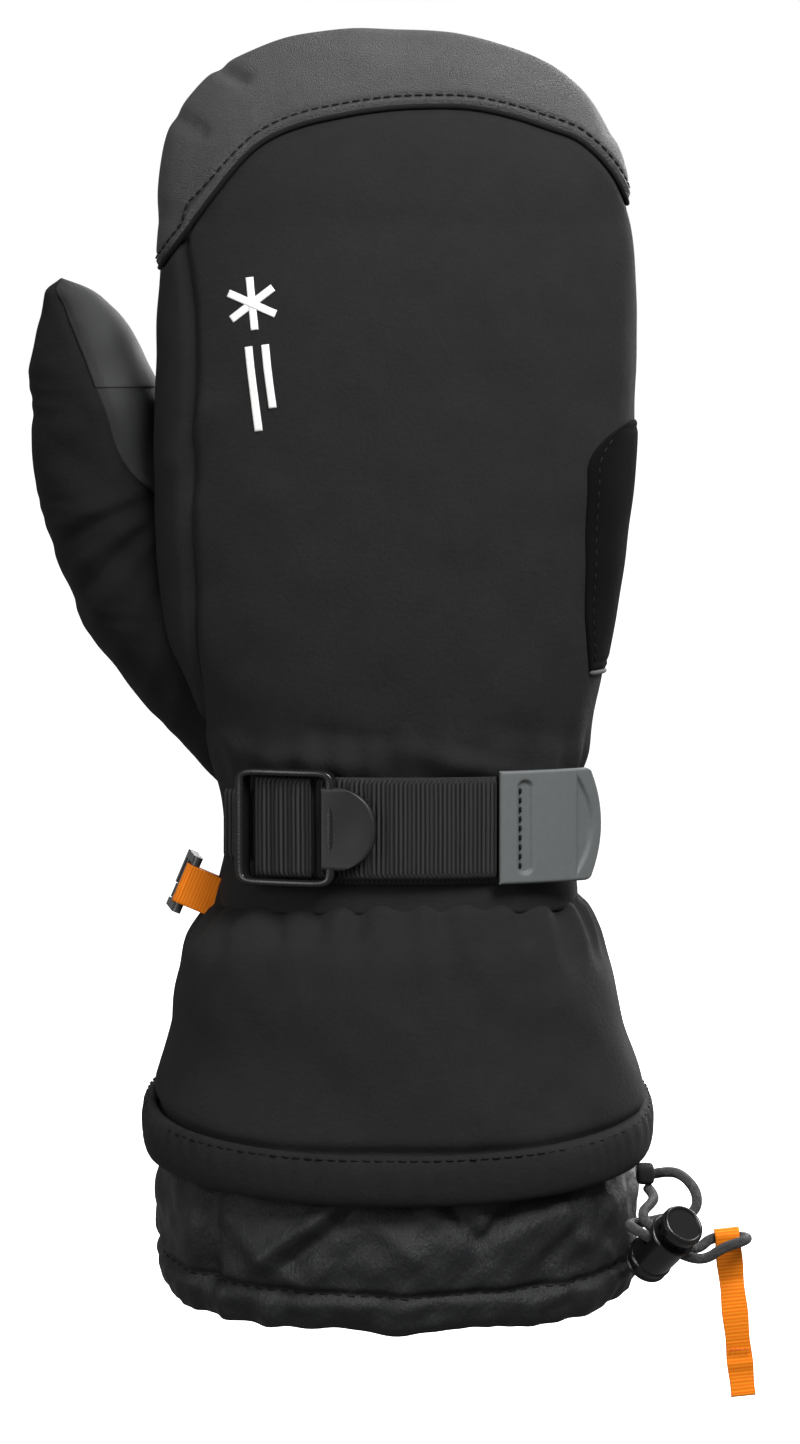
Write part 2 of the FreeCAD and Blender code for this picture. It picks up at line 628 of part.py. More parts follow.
def wrist_loop():
    """Two legs of webbing and the fold between them, cut off where they enter the wrist seam."""
    wall, wide = value("loop_webbing_wall"), value("loop_webbing_width")
    inner = value("clip_bar_radius") + value("running_gap")
    centre = lean_frame(0, 0, -wide / 2)
    up = lean_frame(0, 0, 1) - lean_frame(0, 0, 0)
    fold = Part.makeCylinder(inner + wall, wide, centre, up).cut(Part.makeCylinder(inner, wide, centre, up))
    fold = fold.cut(leaning_box(0, 20, -5, 10, -10, 20))
    legs = [leaning_box(0, 17, y, wall, -wide / 2, wide) for y in (inner, -inner - wall)]
    solid = fold.multiFuse(legs).removeSplitter()
    solid = solid.cut(hand_outer.Shape).cut(gauntlet_outer.Shape)
    return feature("wrist_loop", max(solid.Solids, key=lambda piece: piece.Volume))


def clip():
    """A flat moulded frame: the bar in the loop, a middle bar, and an outer bar whose foot is a gate."""
    wall, frame = value("clip_wall"), value("clip_frame")
    wide, deep = value("clip_width"), value("clip_length")
    up = lean_frame(0, 0, 1) - lean_frame(0, 0, 0)
    pin = Part.makeCylinder(value("clip_bar_radius"), wide, lean_frame(0, 0, -wide / 2), up)
    half = wide / 2
    arms = [leaning_box(0, deep, -wall / 2, wall, place, frame) for place in (-half, half - frame)]
    middle_bar = leaning_box(deep * 0.45, frame * 0.8, -wall / 2, wall, -half, wide)
    mouth, slack = value("clip_mouth"), value("running_gap")
    outer_bar = leaning_box(deep - frame, frame, -wall / 2, wall, mouth - half, wide - mouth)
    solid = pin.multiFuse([*arms, middle_bar, outer_bar])
    gate = leaning_box(deep - frame + slack, frame - 2 * slack, slack - wall / 2, wall - 2 * slack,
                       frame + slack - half, mouth - frame - 2 * slack)
    for shape in (solid, gate):
        shape.rotate(lean_frame(0, 0, 0), up, value("clip_turn"))
    return solid, gate


doc.recompute()
keep(wrist_loop(), "wrist_loop")
clip_shape, gate_shape = clip()
keep(feature("glove_clip", clip_shape, clip_shape.Placement), "glove_clip")
keep(feature("glove_clip_gate", gate_shape, gate_shape.Placement), "glove_clip_gate")


# Cord lock: a turned barrel with a sprung button, and one slot through both for the cord.
def turned(label, profile):
    """A body turned from a closed profile of (radius, height) expressions."""
    body = doc.addObject("PartDesign::Body", label)
    sketch = body.newObject("Sketcher::SketchObject", f"{label}_profile")
    plane = [f for f in body.Origin.OriginFeatures if f.Role == "XZ_Plane"][0]
    sketch.AttachmentSupport = (plane, "")
    sketch.MapMode = "FlatFace"
    places = [(evaluate(r), evaluate(z)) for r, z in profile]
    count = len(places)
    for here, there in zip(places, places[1:] + places[:1]):
        sketch.addGeometry(Part.LineSegment(Vector(*here, 0), Vector(*there, 0)), False)
    for number in range(count):
        sketch.addConstraint(Sketcher.Constraint("Coincident", number, 2, (number + 1) % count, 1))
    for number, place in enumerate(places):
        for kind, at, words in zip(("DistanceX", "DistanceY"), place, profile[number]):
            made = sketch.addConstraint(Sketcher.Constraint(kind, -1, 1, number, 1, at))
            sketch.setExpression(f"Constraints[{made}]", words)
    turn = body.newObject("PartDesign::Revolution", f"{label}_turn")
    turn.Profile = sketch
    turn.ReferenceAxis = (sketch, ["V_Axis"])
    turn.Angle = 360
    return body


def evaluate(words):
    """The number that a sheet expression stands for."""
    return float(sheet.evalExpression(words))


def slot_through(body, label, height, tall, wide):
    """A rounded-off slot right through a turned body, across its axis."""
    sketch = body.newObject("Sketcher::SketchObject", f"{label}_slot")
    plane = [f for f in body.Origin.OriginFeatures if f.Role == "YZ_Plane"][0]
    sketch.AttachmentSupport = (plane, "")
    sketch.MapMode = "FlatFace"
    low, high = f"{height} - ({tall}) / 2", f"{height} + ({tall}) / 2"
    left, right = f"-({wide}) / 2", f"({wide}) / 2"
    corners = [(left, low), (right, low), (right, high), (left, high)]
    places = [(evaluate(a), evaluate(b)) for a, b in corners]
    for here, there in zip(places, places[1:] + places[:1]):
        sketch.addGeometry(Part.LineSegment(Vector(*here, 0), Vector(*there, 0)), False)
    for number in range(4):
        sketch.addConstraint(Sketcher.Constraint("Coincident", number, 2, (number + 1) % 4, 1))
    for number, place in enumerate(places):
        for kind, at, words in zip(("DistanceX", "DistanceY"), place, corners[number]):
            made = sketch.addConstraint(Sketcher.Constraint(kind, -1, 1, number, 1, at))
            sketch.setExpression(f"Constraints[{made}]", words)
    pocket = body.newObject("PartDesign::Pocket", f"{label}_cut")
    pocket.Profile = sketch
    pocket.Type = "ThroughAll"
    pocket.Midplane = True


def lock_turn():
    """The lock's turn: its axis points up, right and towards the front; its slot runs level across."""
    along = Vector(0.464, -0.664, 0.587).normalize()
    across = Vector(0.854, 0.156, -0.498)
    across = (across - along * across.dot(along)).normalize()
    depth = along.cross(across)
    matrix = FreeCAD.Matrix(
        across.x, depth.x, along.x, 0, across.y, depth.y, along.y, 0,
        across.z, depth.z, along.z, 0, 0, 0, 0, 1)
    return FreeCAD.Placement(matrix).Rotation


lock_rotation = lock_turn()
lock_foot = Vector(value("lock_x"), value("lock_y"), value("lock_z"))
bore = "size.plunger_radius + size.running_gap"
cavity_floor = "size.lock_wall * 1.6"
barrel = turned("cord_lock_barrel", [
    ("0", "0"), ("size.lock_radius - 2", "0"), ("size.lock_radius - 0.6", "0.7"), ("size.lock_radius", "2.2"),
    ("size.lock_radius", "size.lock_length"), (bore, "size.lock_length"), (bore, cavity_floor),
    ("0", cavity_floor)])
slot_wide = "2 * size.cord_diameter + 1"
slot_through(barrel, "barrel", "size.lock_hole_height", "size.cord_diameter + 1", slot_wide)
stem_foot = "size.lock_hole_height - size.cord_diameter / 2 - 1.9"
button_foot = "size.lock_length + size.button_travel + 0.2"
plunger = turned("cord_lock_plunger", [
    ("0", stem_foot), ("size.plunger_radius", stem_foot), ("size.plunger_radius", button_foot),
    ("size.button_radius", button_foot), ("size.button_radius", f"{button_foot} + size.button_height - 0.5"),
    ("size.button_radius - 0.5", f"{button_foot} + size.button_height"),
    ("0", f"{button_foot} + size.button_height")])
slot_through(
    plunger, "plunger", "size.lock_hole_height + size.button_travel / 2",
    "size.cord_diameter + 1 + size.button_travel", slot_wide,
)
for body in (barrel, plunger):
    body.Placement = FreeCAD.Placement(lock_foot, lock_rotation)
keep(barrel, "cord_lock_barrel")
keep(plunger, "cord_lock_plunger")


def lock_place(across, depth, along):
    """A point given in the lock's own directions."""
    return lock_foot + lock_rotation.multVec(Vector(across, depth, along))


def lock_spring():
    """The spring under the plunger, as rings of wire."""
    wire, count = value("spring_wire") / 2, 5
    low = evaluate(cavity_floor) + wire + 0.1
    high = evaluate(stem_foot) - wire - 0.1
    up = lock_rotation.multVec(Vector(0, 0, 1))
    heights = [low + (high - low) * step / (count - 1) for step in range(count)]
    rings = [Part.makeTorus(value("spring_radius"), wire, lock_place(0, 0, height), up) for height in heights]
    return feature("cord_lock_spring", Part.Compound(rings))


keep(lock_spring(), "cord_lock_spring")


# The drawcord: out of its tunnel, through the lock, round the pull tab's loop and back.
def bent_tube(name, route, radius):
    """A tube along straight runs joined by tangent arcs, each as large as its two runs allow."""
    edges, here, radii = [], route[0], []
    for before, corner, after in zip(route, route[1:], route[2:]):
        come, go = (corner - before), (after - corner)
        reach = 0.45 * min(come.Length, go.Length)
        come.normalize()
        go.normalize()
        half_turn = math.acos(max(-1, min(1, come.dot(go)))) / 2
        start, end = corner - come * reach, corner + go * reach
        bend = reach / math.tan(half_turn)
        radii.append(round(bend, 2))
        inward = (go - come).normalize()
        middle = corner + inward * (bend / math.cos(half_turn) - bend)
        edges.append(Part.LineSegment(here, start).toShape())
        edges.append(Part.Arc(start, middle, end).toShape())
        here = end
    edges.append(Part.LineSegment(here, route[-1]).toShape())
    path = Part.Wire(edges)
    first = (route[1] - route[0]).normalize()
    profile = Part.Wire(Part.Circle(route[0], first, radius).toShape())
    tube = path.makePipeShell([profile], True, False)
    print(name, "radii", radii, "length", round(path.Length, 1),
          "volume share", round(tube.Volume / (math.pi * radius ** 2 * path.Length), 4))
    return feature(name, tube)


half_lock, apart = value("lock_radius"), (value("cord_diameter") + 0.3) / 2
hole = value("lock_hole_height")
back_y, loop_z = value("loop_back_y"), value("loop_height")
front_y = back_y - 2.25 * value("cord_diameter")
route = [
    Vector(63.2, -16, 26), Vector(67, -17.5, 27), Vector(70.5, -20, 26), Vector(73.5, -22.5, 22.5),
    Vector(73.6, -24, 18.5), Vector(70.5, -24.8, 16.2), Vector(66, -25.2, 16.4), Vector(60.8, -26, 15.3),
    Vector(56.5, -29.5, 15.6), Vector(56.9, -33.8, 15.2),
    lock_place(-half_lock, -apart, hole), lock_place(half_lock, -apart, hole),
    Vector(75.2, -33.4, 7), Vector(79.4, front_y, 10.2), Vector(85.5, front_y, loop_z),
    Vector(85.5, back_y, loop_z), Vector(77, back_y, loop_z), Vector(73.8, -29.6, 9.2),
    lock_place(half_lock, apart, hole), lock_place(-half_lock, apart, hole),
    Vector(59.4, -30.9, 18.4), Vector(62.2, -27.6, 20.4), Vector(63.1, -23.8, 21.6),
    Vector(61.4, -20.6, 23.2),
]
keep(bent_tube("drawcord_loop", route, value("cord_diameter") / 2), "drawcord_loop")


def drawcord_tunnel():
    """The sewn tunnel under the hem that both ends of the drawcord come out of."""
    corner = Vector(value("tunnel_left_x"), value("tunnel_front_y"), value("tunnel_foot_height"))
    block = Part.makeBox(value("tunnel_width"), value("tunnel_depth"), value("tunnel_height"), corner)
    block = block.cut(cuff_outer.Shape).cut(hem_outer.Shape).cut(nodes["drawcord_loop"].Shape)
    return feature("drawcord_tunnel", max(block.Solids, key=lambda piece: piece.Volume))


def pull_tab():
    """A ribbon folded over the back strand of the loop, its two legs sewn together below."""
    wall, wide = value("tab_webbing_wall"), value("tab_webbing_width")
    inner = value("cord_diameter") / 2 + 2 * value("running_gap")
    outer, neck, long = inner + wall, value("tab_neck"), value("tab_length")
    fold = Part.makeCylinder(outer, wide, Vector(-wide / 2, 0, 0), Vector(1, 0, 0))
    fold = fold.cut(Part.makeCylinder(inner, wide, Vector(-wide / 2, 0, 0), Vector(1, 0, 0)))
    fold = fold.cut(Part.makeBox(wide, 2 * outer, outer, Vector(-wide / 2, -outer, -outer)))
    legs = []
    for side in (-1, 1):
        outline = Part.makePolygon([
            Vector(-wide / 2, side * y, z) for y, z in
            ((inner, 0), (outer, 0), (wall, -neck), (wall, -long), (0, -long), (0, -neck), (inner, 0))
        ])
        legs.append(Part.Face(outline).extrude(Vector(wide, 0, 0)))
    shape = fold.multiFuse(legs).removeSplitter()
    turn = FreeCAD.Rotation(Vector(0, 1, 0), -value("tab_lean"))
    return feature("pull_tab", shape, FreeCAD.Placement(Vector(value("tab_x"), back_y, loop_z), turn))


doc.recompute()
keep(drawcord_tunnel(), "drawcord_tunnel")
keep(pull_tab(), "pull_tab")
doc.recompute()


def check_document():
    """Stops if any object failed, or a sub-part's shape is empty or broken."""
    for item in doc.Objects:
        if {"Invalid", "Error"} & set(item.State):
            raise RuntimeError(f"{item.Label} did not compute: {item.State}")
    for label, item in nodes.items():
        if item.Shape.isNull() or not item.Shape.isValid() or not item.Shape.Solids:
            raise RuntimeError(f"{label} has no valid shape")


check_document()
os.makedirs("parts", exist_ok=True)
for label, item in nodes.items():
    item.Shape.exportStep(f"parts/{label}.step")
    print(label, len(item.Shape.Solids), round(item.Shape.Volume))
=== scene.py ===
import math

import bmesh
import bpy
import numpy as np
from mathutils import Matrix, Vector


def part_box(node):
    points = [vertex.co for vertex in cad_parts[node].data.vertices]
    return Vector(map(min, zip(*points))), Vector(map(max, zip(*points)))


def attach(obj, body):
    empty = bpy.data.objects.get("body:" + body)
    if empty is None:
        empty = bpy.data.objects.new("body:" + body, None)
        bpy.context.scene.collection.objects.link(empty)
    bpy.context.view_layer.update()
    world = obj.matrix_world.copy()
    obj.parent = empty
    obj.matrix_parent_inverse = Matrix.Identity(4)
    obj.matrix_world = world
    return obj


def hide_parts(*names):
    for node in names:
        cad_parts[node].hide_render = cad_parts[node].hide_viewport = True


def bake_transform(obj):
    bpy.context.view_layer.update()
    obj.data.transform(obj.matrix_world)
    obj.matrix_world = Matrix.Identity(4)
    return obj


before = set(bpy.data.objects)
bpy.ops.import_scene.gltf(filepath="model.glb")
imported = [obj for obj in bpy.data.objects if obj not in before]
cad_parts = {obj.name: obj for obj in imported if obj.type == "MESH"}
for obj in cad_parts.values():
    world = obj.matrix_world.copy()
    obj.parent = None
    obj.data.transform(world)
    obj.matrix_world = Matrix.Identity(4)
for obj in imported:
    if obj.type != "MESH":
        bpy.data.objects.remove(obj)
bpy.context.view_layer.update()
scene = bpy.context.scene

# The studio: a long lens a little above the mitten, a flat pale floor under it, and large soft
# lamps. The mitten stands upright, back of the hand to the camera, its cuff mouth at the origin.
MM = 0.001
aim = np.array([0.0, 0.0, 137.5]) * MM
distance, rise_angle, frame_tall = 1.6, math.radians(4), 0.361

lens = bpy.data.cameras.new("long_lens")
lens.sensor_width = 36
lens.lens = lens.sensor_width * distance / frame_tall
lens.clip_end = 20
camera = bpy.data.objects.new("camera", lens)
scene.collection.objects.link(camera)
camera.location = aim + distance * np.array([0, -math.cos(rise_angle), math.sin(rise_angle)])
camera.rotation_euler = (math.pi / 2 - rise_angle, 0, 0)
scene.camera = camera


def smooth(at, levels, amounts):
    """A smooth line through the amounts given at some levels: on each stretch the cubic that has both
    ends' amounts and slopes, where a slope is the gradient of the neighbours."""
    levels, amounts = np.array(levels, float), np.array(amounts, float)
    slopes = np.gradient(amounts, levels)
    at = np.clip(at, levels[0], levels[-1])
    low = np.clip(np.searchsorted(levels, at) - 1, 0, len(levels) - 2)
    step = levels[low + 1] - levels[low]
    f = (at - levels[low]) / step
    ends = (2 * f**3 - 3 * f**2 + 1) * amounts[low] + (3 * f**2 - 2 * f**3) * amounts[low + 1]
    return ends + step * ((f**3 - 2 * f**2 + f) * slopes[low] + (f**3 - f**2) * slopes[low + 1])


def surface(name, points, ring=False, tube=False, wall=0.0, merge=False, material=None):
    """A mesh on a grid of points in millimetres, rows by columns. ring joins the last column to the
    first and tube the last row to the first. Its faces are turned away from the piece's middle, and
    wall thickens an open sheet inwards. The map holds the cloth's own lengths across and up."""
    rows, columns = points.shape[:2]
    full = np.concatenate([points, points[:, :1]], 1) if ring else points
    full = np.concatenate([full, full[:1]], 0) if tube else full
    here = np.arange(rows * columns).reshape(rows, columns)
    here = np.concatenate([here, here[:, :1]], 1) if ring else here
    here = np.concatenate([here, here[:1]], 0) if tube else here
    place = np.arange(here.size).reshape(here.shape)
    across = np.zeros(here.shape)
    across[:, 1:] = np.cumsum(np.linalg.norm(np.diff(full, axis=1), axis=2), 1)
    up = np.zeros(here.shape)
    up[1:] = np.cumsum(np.linalg.norm(np.diff(full, axis=0), axis=2), 0)
    corners = np.stack([place[:-1, :-1], place[:-1, 1:], place[1:, 1:], place[1:, :-1]], -1).reshape(-1, 4)
    flat = full.reshape(-1, 3)
    facing = np.cross(flat[corners[:, 2]] - flat[corners[:, 0]], flat[corners[:, 3]] - flat[corners[:, 1]])
    middle = flat[corners].mean(1) - flat.mean(0)
    if (facing * middle).sum() < 0:
        corners = corners[:, ::-1]
    mesh = bpy.data.meshes.new(name)
    mesh.from_pydata(points.reshape(-1, 3) * MM, [], here.reshape(-1)[corners])
    lengths = np.stack([across.reshape(-1)[corners], up.reshape(-1)[corners]], -1) * MM
    mesh.uv_layers.new(name="cloth").data.foreach_set("uv", lengths.reshape(-1).astype(np.float32))
    mesh.shade_smooth()
    if merge:
        shape = bmesh.new()
        shape.from_mesh(mesh)
        bmesh.ops.remove_doubles(shape, verts=shape.verts, dist=1e-6)
        shape.to_mesh(mesh)
        shape.free()
    piece = bpy.data.objects.new(name, mesh)
    scene.collection.objects.link(piece)
    if wall:
        thicken = piece.modifiers.new("wall", "SOLIDIFY")
        thicken.thickness, thicken.offset, thicken.use_even_offset = wall * MM, -1, False
    if material:
        mesh.materials.append(material)
    return piece


def finish_of(name, colour, roughness, **sockets):
    """A material with one shader: its colour, its roughness and whatever sockets are named."""
    made = bpy.data.materials.new(name)
    made.use_nodes = True
    shader = made.node_tree.nodes["Principled BSDF"]
    shader.inputs["Base Color"].default_value = (*colour, 1)
    shader.inputs["Roughness"].default_value = roughness
    for socket, amount in sockets.items():
        shader.inputs[socket.replace("_", " ")].default_value = amount
    return made


def place(node, **amounts):
    """Sets a node's sockets and properties by name."""
    for name, amount in amounts.items():
        words = name.replace("_", " ")
        if words in node.inputs:
            node.inputs[words].default_value = amount
        else:
            setattr(node, name, amount)
    return node


def pattern(material, kind, source="UV", scale=1.0, stretch=(1, 1, 1), turn=0.0, **amounts):
    """A pattern of the material's tree, read on the cloth's own map or on Object coordinates."""
    tree = material.node_tree
    where = tree.nodes.new("ShaderNodeTexCoord")
    mapping = tree.nodes.new("ShaderNodeMapping")
    mapping.inputs["Scale"].default_value = [scale * s for s in stretch]
    mapping.inputs["Rotation"].default_value = (0, 0, turn)
    made = place(tree.nodes.new(kind), **amounts)
    tree.links.new(where.outputs[source], mapping.inputs["Vector"])
    tree.links.new(mapping.outputs[0], made.inputs["Vector"])
    return made


def relief(material, height, depth, strength=1.0):
    """Adds a height in millimetres of depth to the material's bumps, over the ones it already has."""
    tree = material.node_tree
    shader = tree.nodes["Principled BSDF"]
    bump = place(tree.nodes.new("ShaderNodeBump"), Distance=abs(depth) * MM, Strength=strength,
                 invert=depth < 0)
    if shader.inputs["Normal"].links:
        tree.links.new(shader.inputs["Normal"].links[0].from_socket, bump.inputs["Normal"])
    tree.links.new(height, bump.inputs["Height"])
    tree.links.new(bump.outputs[0], shader.inputs["Normal"])


def blotch(material, dark, light, fac, socket="Base Color"):
    """Lets the colour, or another socket, run from dark to light with a pattern."""
    tree = material.node_tree
    mix = place(tree.nodes.new("ShaderNodeMix"), data_type="RGBA")
    mix.inputs[6].default_value, mix.inputs[7].default_value = (*dark, 1), (*light, 1)
    tree.links.new(fac, mix.inputs[0])
    tree.links.new(mix.outputs[2], tree.nodes["Principled BSDF"].inputs[socket])


# The drawcord: one loop of round elastic, 2.6 mm thick. Both ends come out of the tunnel at the gauntlet's
# hem, pass the cord lock, and the loop ends round the orange ribbon that it is pulled by.
def belongs(piece, body, finish, *nodes):
    """What every piece says: its body, its finish, which is not used, and the CAD nodes that it replaces."""
    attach(piece, body)
    if nodes:
        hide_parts(*nodes)


cord_thick = 2.6 * MM
cord_route = [
    (63.2, -16, 26), (67, -17.5, 27), (70.5, -20, 26), (73.5, -22.5, 22.5), (73.6, -24, 18.5),
    (70.5, -24.8, 16.2), (66, -25.2, 16.4), (60.8, -26, 15.3), (56.5, -29.5, 15.6), (56.9, -33.8, 15.2),
    (60.5, -34.9, 13.35), (69.9, -33.2, 7.9), (75.2, -33.4, 7), (79.4, -33.95, 10.2), (85.5, -33.95, 12.1),
    (85.5, -28.1, 12.1), (77, -28.1, 12.1), (73.8, -29.6, 9.2), (70.6, -31.05, 9.7), (61.2, -32.8, 15.2),
    (59.4, -30.9, 18.4), (62.2, -27.6, 20.4), (63.1, -23.8, 21.6), (61.4, -20.6, 23.2),
]
braid = finish_of("braided_elastic", (0.016, 0.016, 0.017), 0.62, Sheen_Weight=0.25)
weave = pattern(braid, "ShaderNodeTexWave", scale=1.0, stretch=(900, 900, 1), wave_type="BANDS",
                bands_direction="DIAGONAL", Scale=1.0)
relief(braid, weave.outputs["Fac"], 0.12)
line = bpy.data.curves.new("drawcord", "CURVE")
line.dimensions = "3D"
line.bevel_depth, line.bevel_resolution, line.use_fill_caps = cord_thick / 2, 5, True
spline = line.splines.new("NURBS")
spline.points.add(len(cord_route) - 1)
spline.points.foreach_set("co",
                          np.column_stack([np.array(cord_route) * MM, np.ones(len(cord_route))]).ravel())
spline.order_u, spline.use_endpoint_u, spline.resolution_u = 3, True, 10
line.materials.append(braid)
drawcord = bpy.data.objects.new("drawcord", line)
scene.collection.objects.link(drawcord)
belongs(drawcord, "mitten", "cord", "drawcord_loop")

# The floor is a wide pale sheet, and the room round it is white. Neither throws much light on the mitten:
# soft lamps give the folds their shape, one above on the right, a weak one on the left, two behind.
floor_level, floor_far = -60.0, 20000.0
across, along = np.meshgrid(np.linspace(-floor_far, floor_far, 9), np.linspace(-floor_far, floor_far, 9))
floor = surface("pale_floor", np.stack([across, along, np.full_like(across, floor_level)], -1),
                material=finish_of("pale_floor", (0.92, 0.92, 0.92), 0.9, Emission_Color=(1, 1, 1, 1),
                                   Emission_Strength=0.95))
floor.visible_diffuse = floor.visible_glossy = False
world = bpy.data.worlds.new("white_room")
world.use_nodes = True
room = world.node_tree.nodes["Background"]
room.inputs["Color"].default_value = (1, 1, 1, 1)
seen = place(world.node_tree.nodes.new("ShaderNodeMapRange"), To_Min=0.22, To_Max=1.0)
rays = world.node_tree.nodes.new("ShaderNodeLightPath")
world.node_tree.links.new(rays.outputs["Is Camera Ray"], seen.inputs["Value"])
world.node_tree.links.new(seen.outputs["Result"], room.inputs["Strength"])
scene.world = world
scene.view_settings.view_transform = "Standard"
for name, place_at, wide, power in (
    ("key_lamp", (0.40, -0.62, 0.95), 0.5, 17), ("fill_lamp", (-1.1, -1.0, 0.5), 0.9, 8),
    ("back_lamp", (0.35, 0.35, 0.95), 0.5, 5), ("rear_lamp", (0.5, 1.2, 0.5), 0.9, 14),
):
    lamp = bpy.data.lights.new(name, "AREA")
    lamp.size, lamp.energy = wide, power
    light = bpy.data.objects.new(name, lamp)
    scene.collection.objects.link(light)
    light.location = place_at
    turn_to = np.array(place_at) - aim
    light.rotation_euler = (math.acos(turn_to[2] / np.linalg.norm(turn_to)), 0,
                            math.atan2(turn_to[1], turn_to[0]) + math.pi / 2)

# The back of the hand is one panel of charcoal nylon, sewn between the side seams and under the leather
# cap. It is cut as a long tongue, and the seams draw its edges in a little.
hand_levels = (92, 112, 134, 158, 184, 216, 250, 262)
hand_half_width = (45.4, 45.0, 48.4, 56.0, 58.8, 60.0, 59.4, 58.4)
hand_half_depth = (31.4, 30.0, 32.5, 34.5, 34.5, 33.0, 29.5, 27.0)
hand_centre_x = (-0.6, -0.3, 0, -3.2, -2.8, -1.6, -0.6, -0.9)
hand_centre_y = (0, 0, 1, 2, 3, 4, 6, 7.2)
tip_start, tip_tall, tip_span, tip_centre_x, tip_centre_y = 262.0, 47.2, 62.0, -4.2, 12.5
hand_round, tip_round, edge_round = 2.3, 2.5, 1.65


def oval(turn, half_width, half_depth, centre_x, centre_y, level, roundness=hand_round):
    """A point of a rounded oval: width times cos^(2/n) and depth times sin^(2/n) of the turn, signs kept."""
    cos, sin = np.cos(turn), np.sin(turn)
    x = centre_x + half_width * np.sign(cos) * np.abs(cos) ** (2 / roundness)
    y = centre_y - half_depth * np.sign(sin) * np.abs(sin) ** (2 / roundness)
    return np.stack(np.broadcast_arrays(x, y, level), -1)


def hand_at(turn, level, out=0.0):
    """The hand's surface, out millimetres proud. The turn goes from the little finger (0) over the back
    (90 degrees) to the thumb side. Past the start of the tip the level is a path over a dome: its height is
    sin^(2/n), its width cos^(2/n), and its depth the same arch with a sharper edge."""
    body = np.minimum(level, tip_start)
    arch = np.clip((level - tip_start) / tip_span, 0, 1) * math.pi / 2
    risen = np.sin(arch) ** (2 / tip_round)
    narrow = np.cos(arch) ** (2 / tip_round)
    thin = (1 - np.minimum(risen, 1) ** edge_round) ** (1 / edge_round)
    over = np.where(arch > 0, risen, 0)
    return oval(
        turn,
        (smooth(body, hand_levels, hand_half_width) + out) * narrow,
        (smooth(body, hand_levels, hand_half_depth) + out) * thin,
        smooth(body, hand_levels, hand_centre_x) + (tip_centre_x - hand_centre_x[-1]) * over,
        smooth(body, hand_levels, hand_centre_y) + (tip_centre_y - hand_centre_y[-1]) * over,
        body + (tip_tall + out) * over,
    )


def fold(x, z, start, end, width, height, bow=0.0):
    """A soft ridge, or a groove where height is negative: a bell across a line from start to end that bows
    sideways, fading out at both ends."""
    dx, dz = end[0] - start[0], end[1] - start[1]
    long = math.hypot(dx, dz)
    share = ((x - start[0]) * dx + (z - start[1]) * dz) / long**2
    aside = ((x - start[0]) * dz - (z - start[1]) * dx) / long - bow * 4 * share * (1 - share)
    fade = np.clip(np.abs(share - 0.5) - 0.3, 0, None) / 0.2
    return height * np.exp(-((aside / width) ** 2) - fade**2)


def ripple(x, y, z, wave, height, seed):
    """Uneven ground: the mean of nine sine waves about one wavelength long, each in its own direction."""
    dice = np.random.default_rng(seed)
    total = 0.0
    for _ in range(9):
        way = dice.normal(size=3)
        way *= 2 * math.pi / wave / np.linalg.norm(way) * dice.uniform(0.7, 1.4)
        total = total + np.sin(x * way[0] + y * way[1] + z * way[2] + dice.uniform(0, 6.28))
    return height * total / 3


hand_folds = [
    ((-44.5, 219), (-58, 200), 3.0, 0.9), ((-50, 196), (-59, 176), 4.0, 0.8),
    ((-38, 150), (-50, 176), 7.0, -0.7),
    ((-30, 131), (-7, 128), 3.0, 1.3), ((0, 133), (22, 128), 3.0, 1.2), ((8, 129), (41, 125), 2.6, 1.0),
    ((-46, 136), (-30, 128), 3.0, 1.0), ((-24, 137), (0, 135), 2.6, -0.6), ((22, 138), (46, 134), 3.5, -0.6),
    ((30, 240), (46, 190), 10.0, 0.8), ((10, 180), (34, 160), 9.0, -0.6), ((-20, 170), (-34, 200), 9.0, 0.6),
    ((-50, 303), (-37, 296), 1.8, -2.2), ((-56, 289), (-47, 283), 2.2, -1.4),
    ((-30, 307), (-5, 303), 4.0, 0.5),
    ((48, 296), (53, 282), 2.2, -1.5), ((41, 286), (54, 268), 3.0, 0.5), ((-58, 262), (-47, 274), 3.0, -0.8),
]


def hand_relief(points):
    """How far the cloth stands proud at each point: the folds on the back, gathers by the strap, ripples."""
    x, y, z = points[..., 0], points[..., 1], points[..., 2]
    front = 1 / (1 + np.exp((y - 6) / 3))
    total = ripple(x, y, z, 55, 0.5, 3) + ripple(x, y, z, 17, 0.16, 4)
    for start, end, width, height in hand_folds:
        total = total + front * fold(x, z, start, end, width, height)
    round_hand = np.arctan2(-y, x)
    gather = np.exp(-(((z - 128) / 7) ** 2)) * np.sin(23 * round_hand + 2 * np.sin(3 * round_hand))
    squeeze = -1.6 * np.exp(-(((z - 113.5) / 13) ** 4))
    return total + 0.7 * gather + squeeze


def seam_dip(away, width=2.2, depth=1.5):
    """How far a seam draws the cloth in, a distance away from it."""
    return -depth * np.exp(-((away / width) ** 2))


def cap_seam(x):
    """The height of the arched seam under the leather cap."""
    return smooth(x, (-62, -55.4, -36, -14, 6, 20, 34, 46, 53.5, 62),
                  (248, 257, 280.5, 288.6, 291, 290, 286.2, 280.4, 272.5, 258))


def turn_at(x, level):
    """The turn at which the back of the hand has a place across, by halving."""
    low, high = np.zeros(np.shape(x)), np.full(np.shape(x), math.pi)
    for _ in range(30):
        middle = (low + high) / 2
        right = hand_at(middle, level)[..., 0] > x
        low, high = np.where(right, middle, low), np.where(right, high, middle)
    return (low + high) / 2


def seam_on_hand(turns):
    """The level of the cap's seam at each turn: where the surface's height meets the arch at its x."""
    low, high = np.full(turns.shape, 200.0), np.full(turns.shape, tip_start + tip_span)
    for _ in range(30):
        middle = (low + high) / 2
        there = hand_at(turns, middle)
        above = there[..., 2] > cap_seam(there[..., 0])
        low, high = np.where(above, low, middle), np.where(above, middle, high)
    return (low + high) / 2


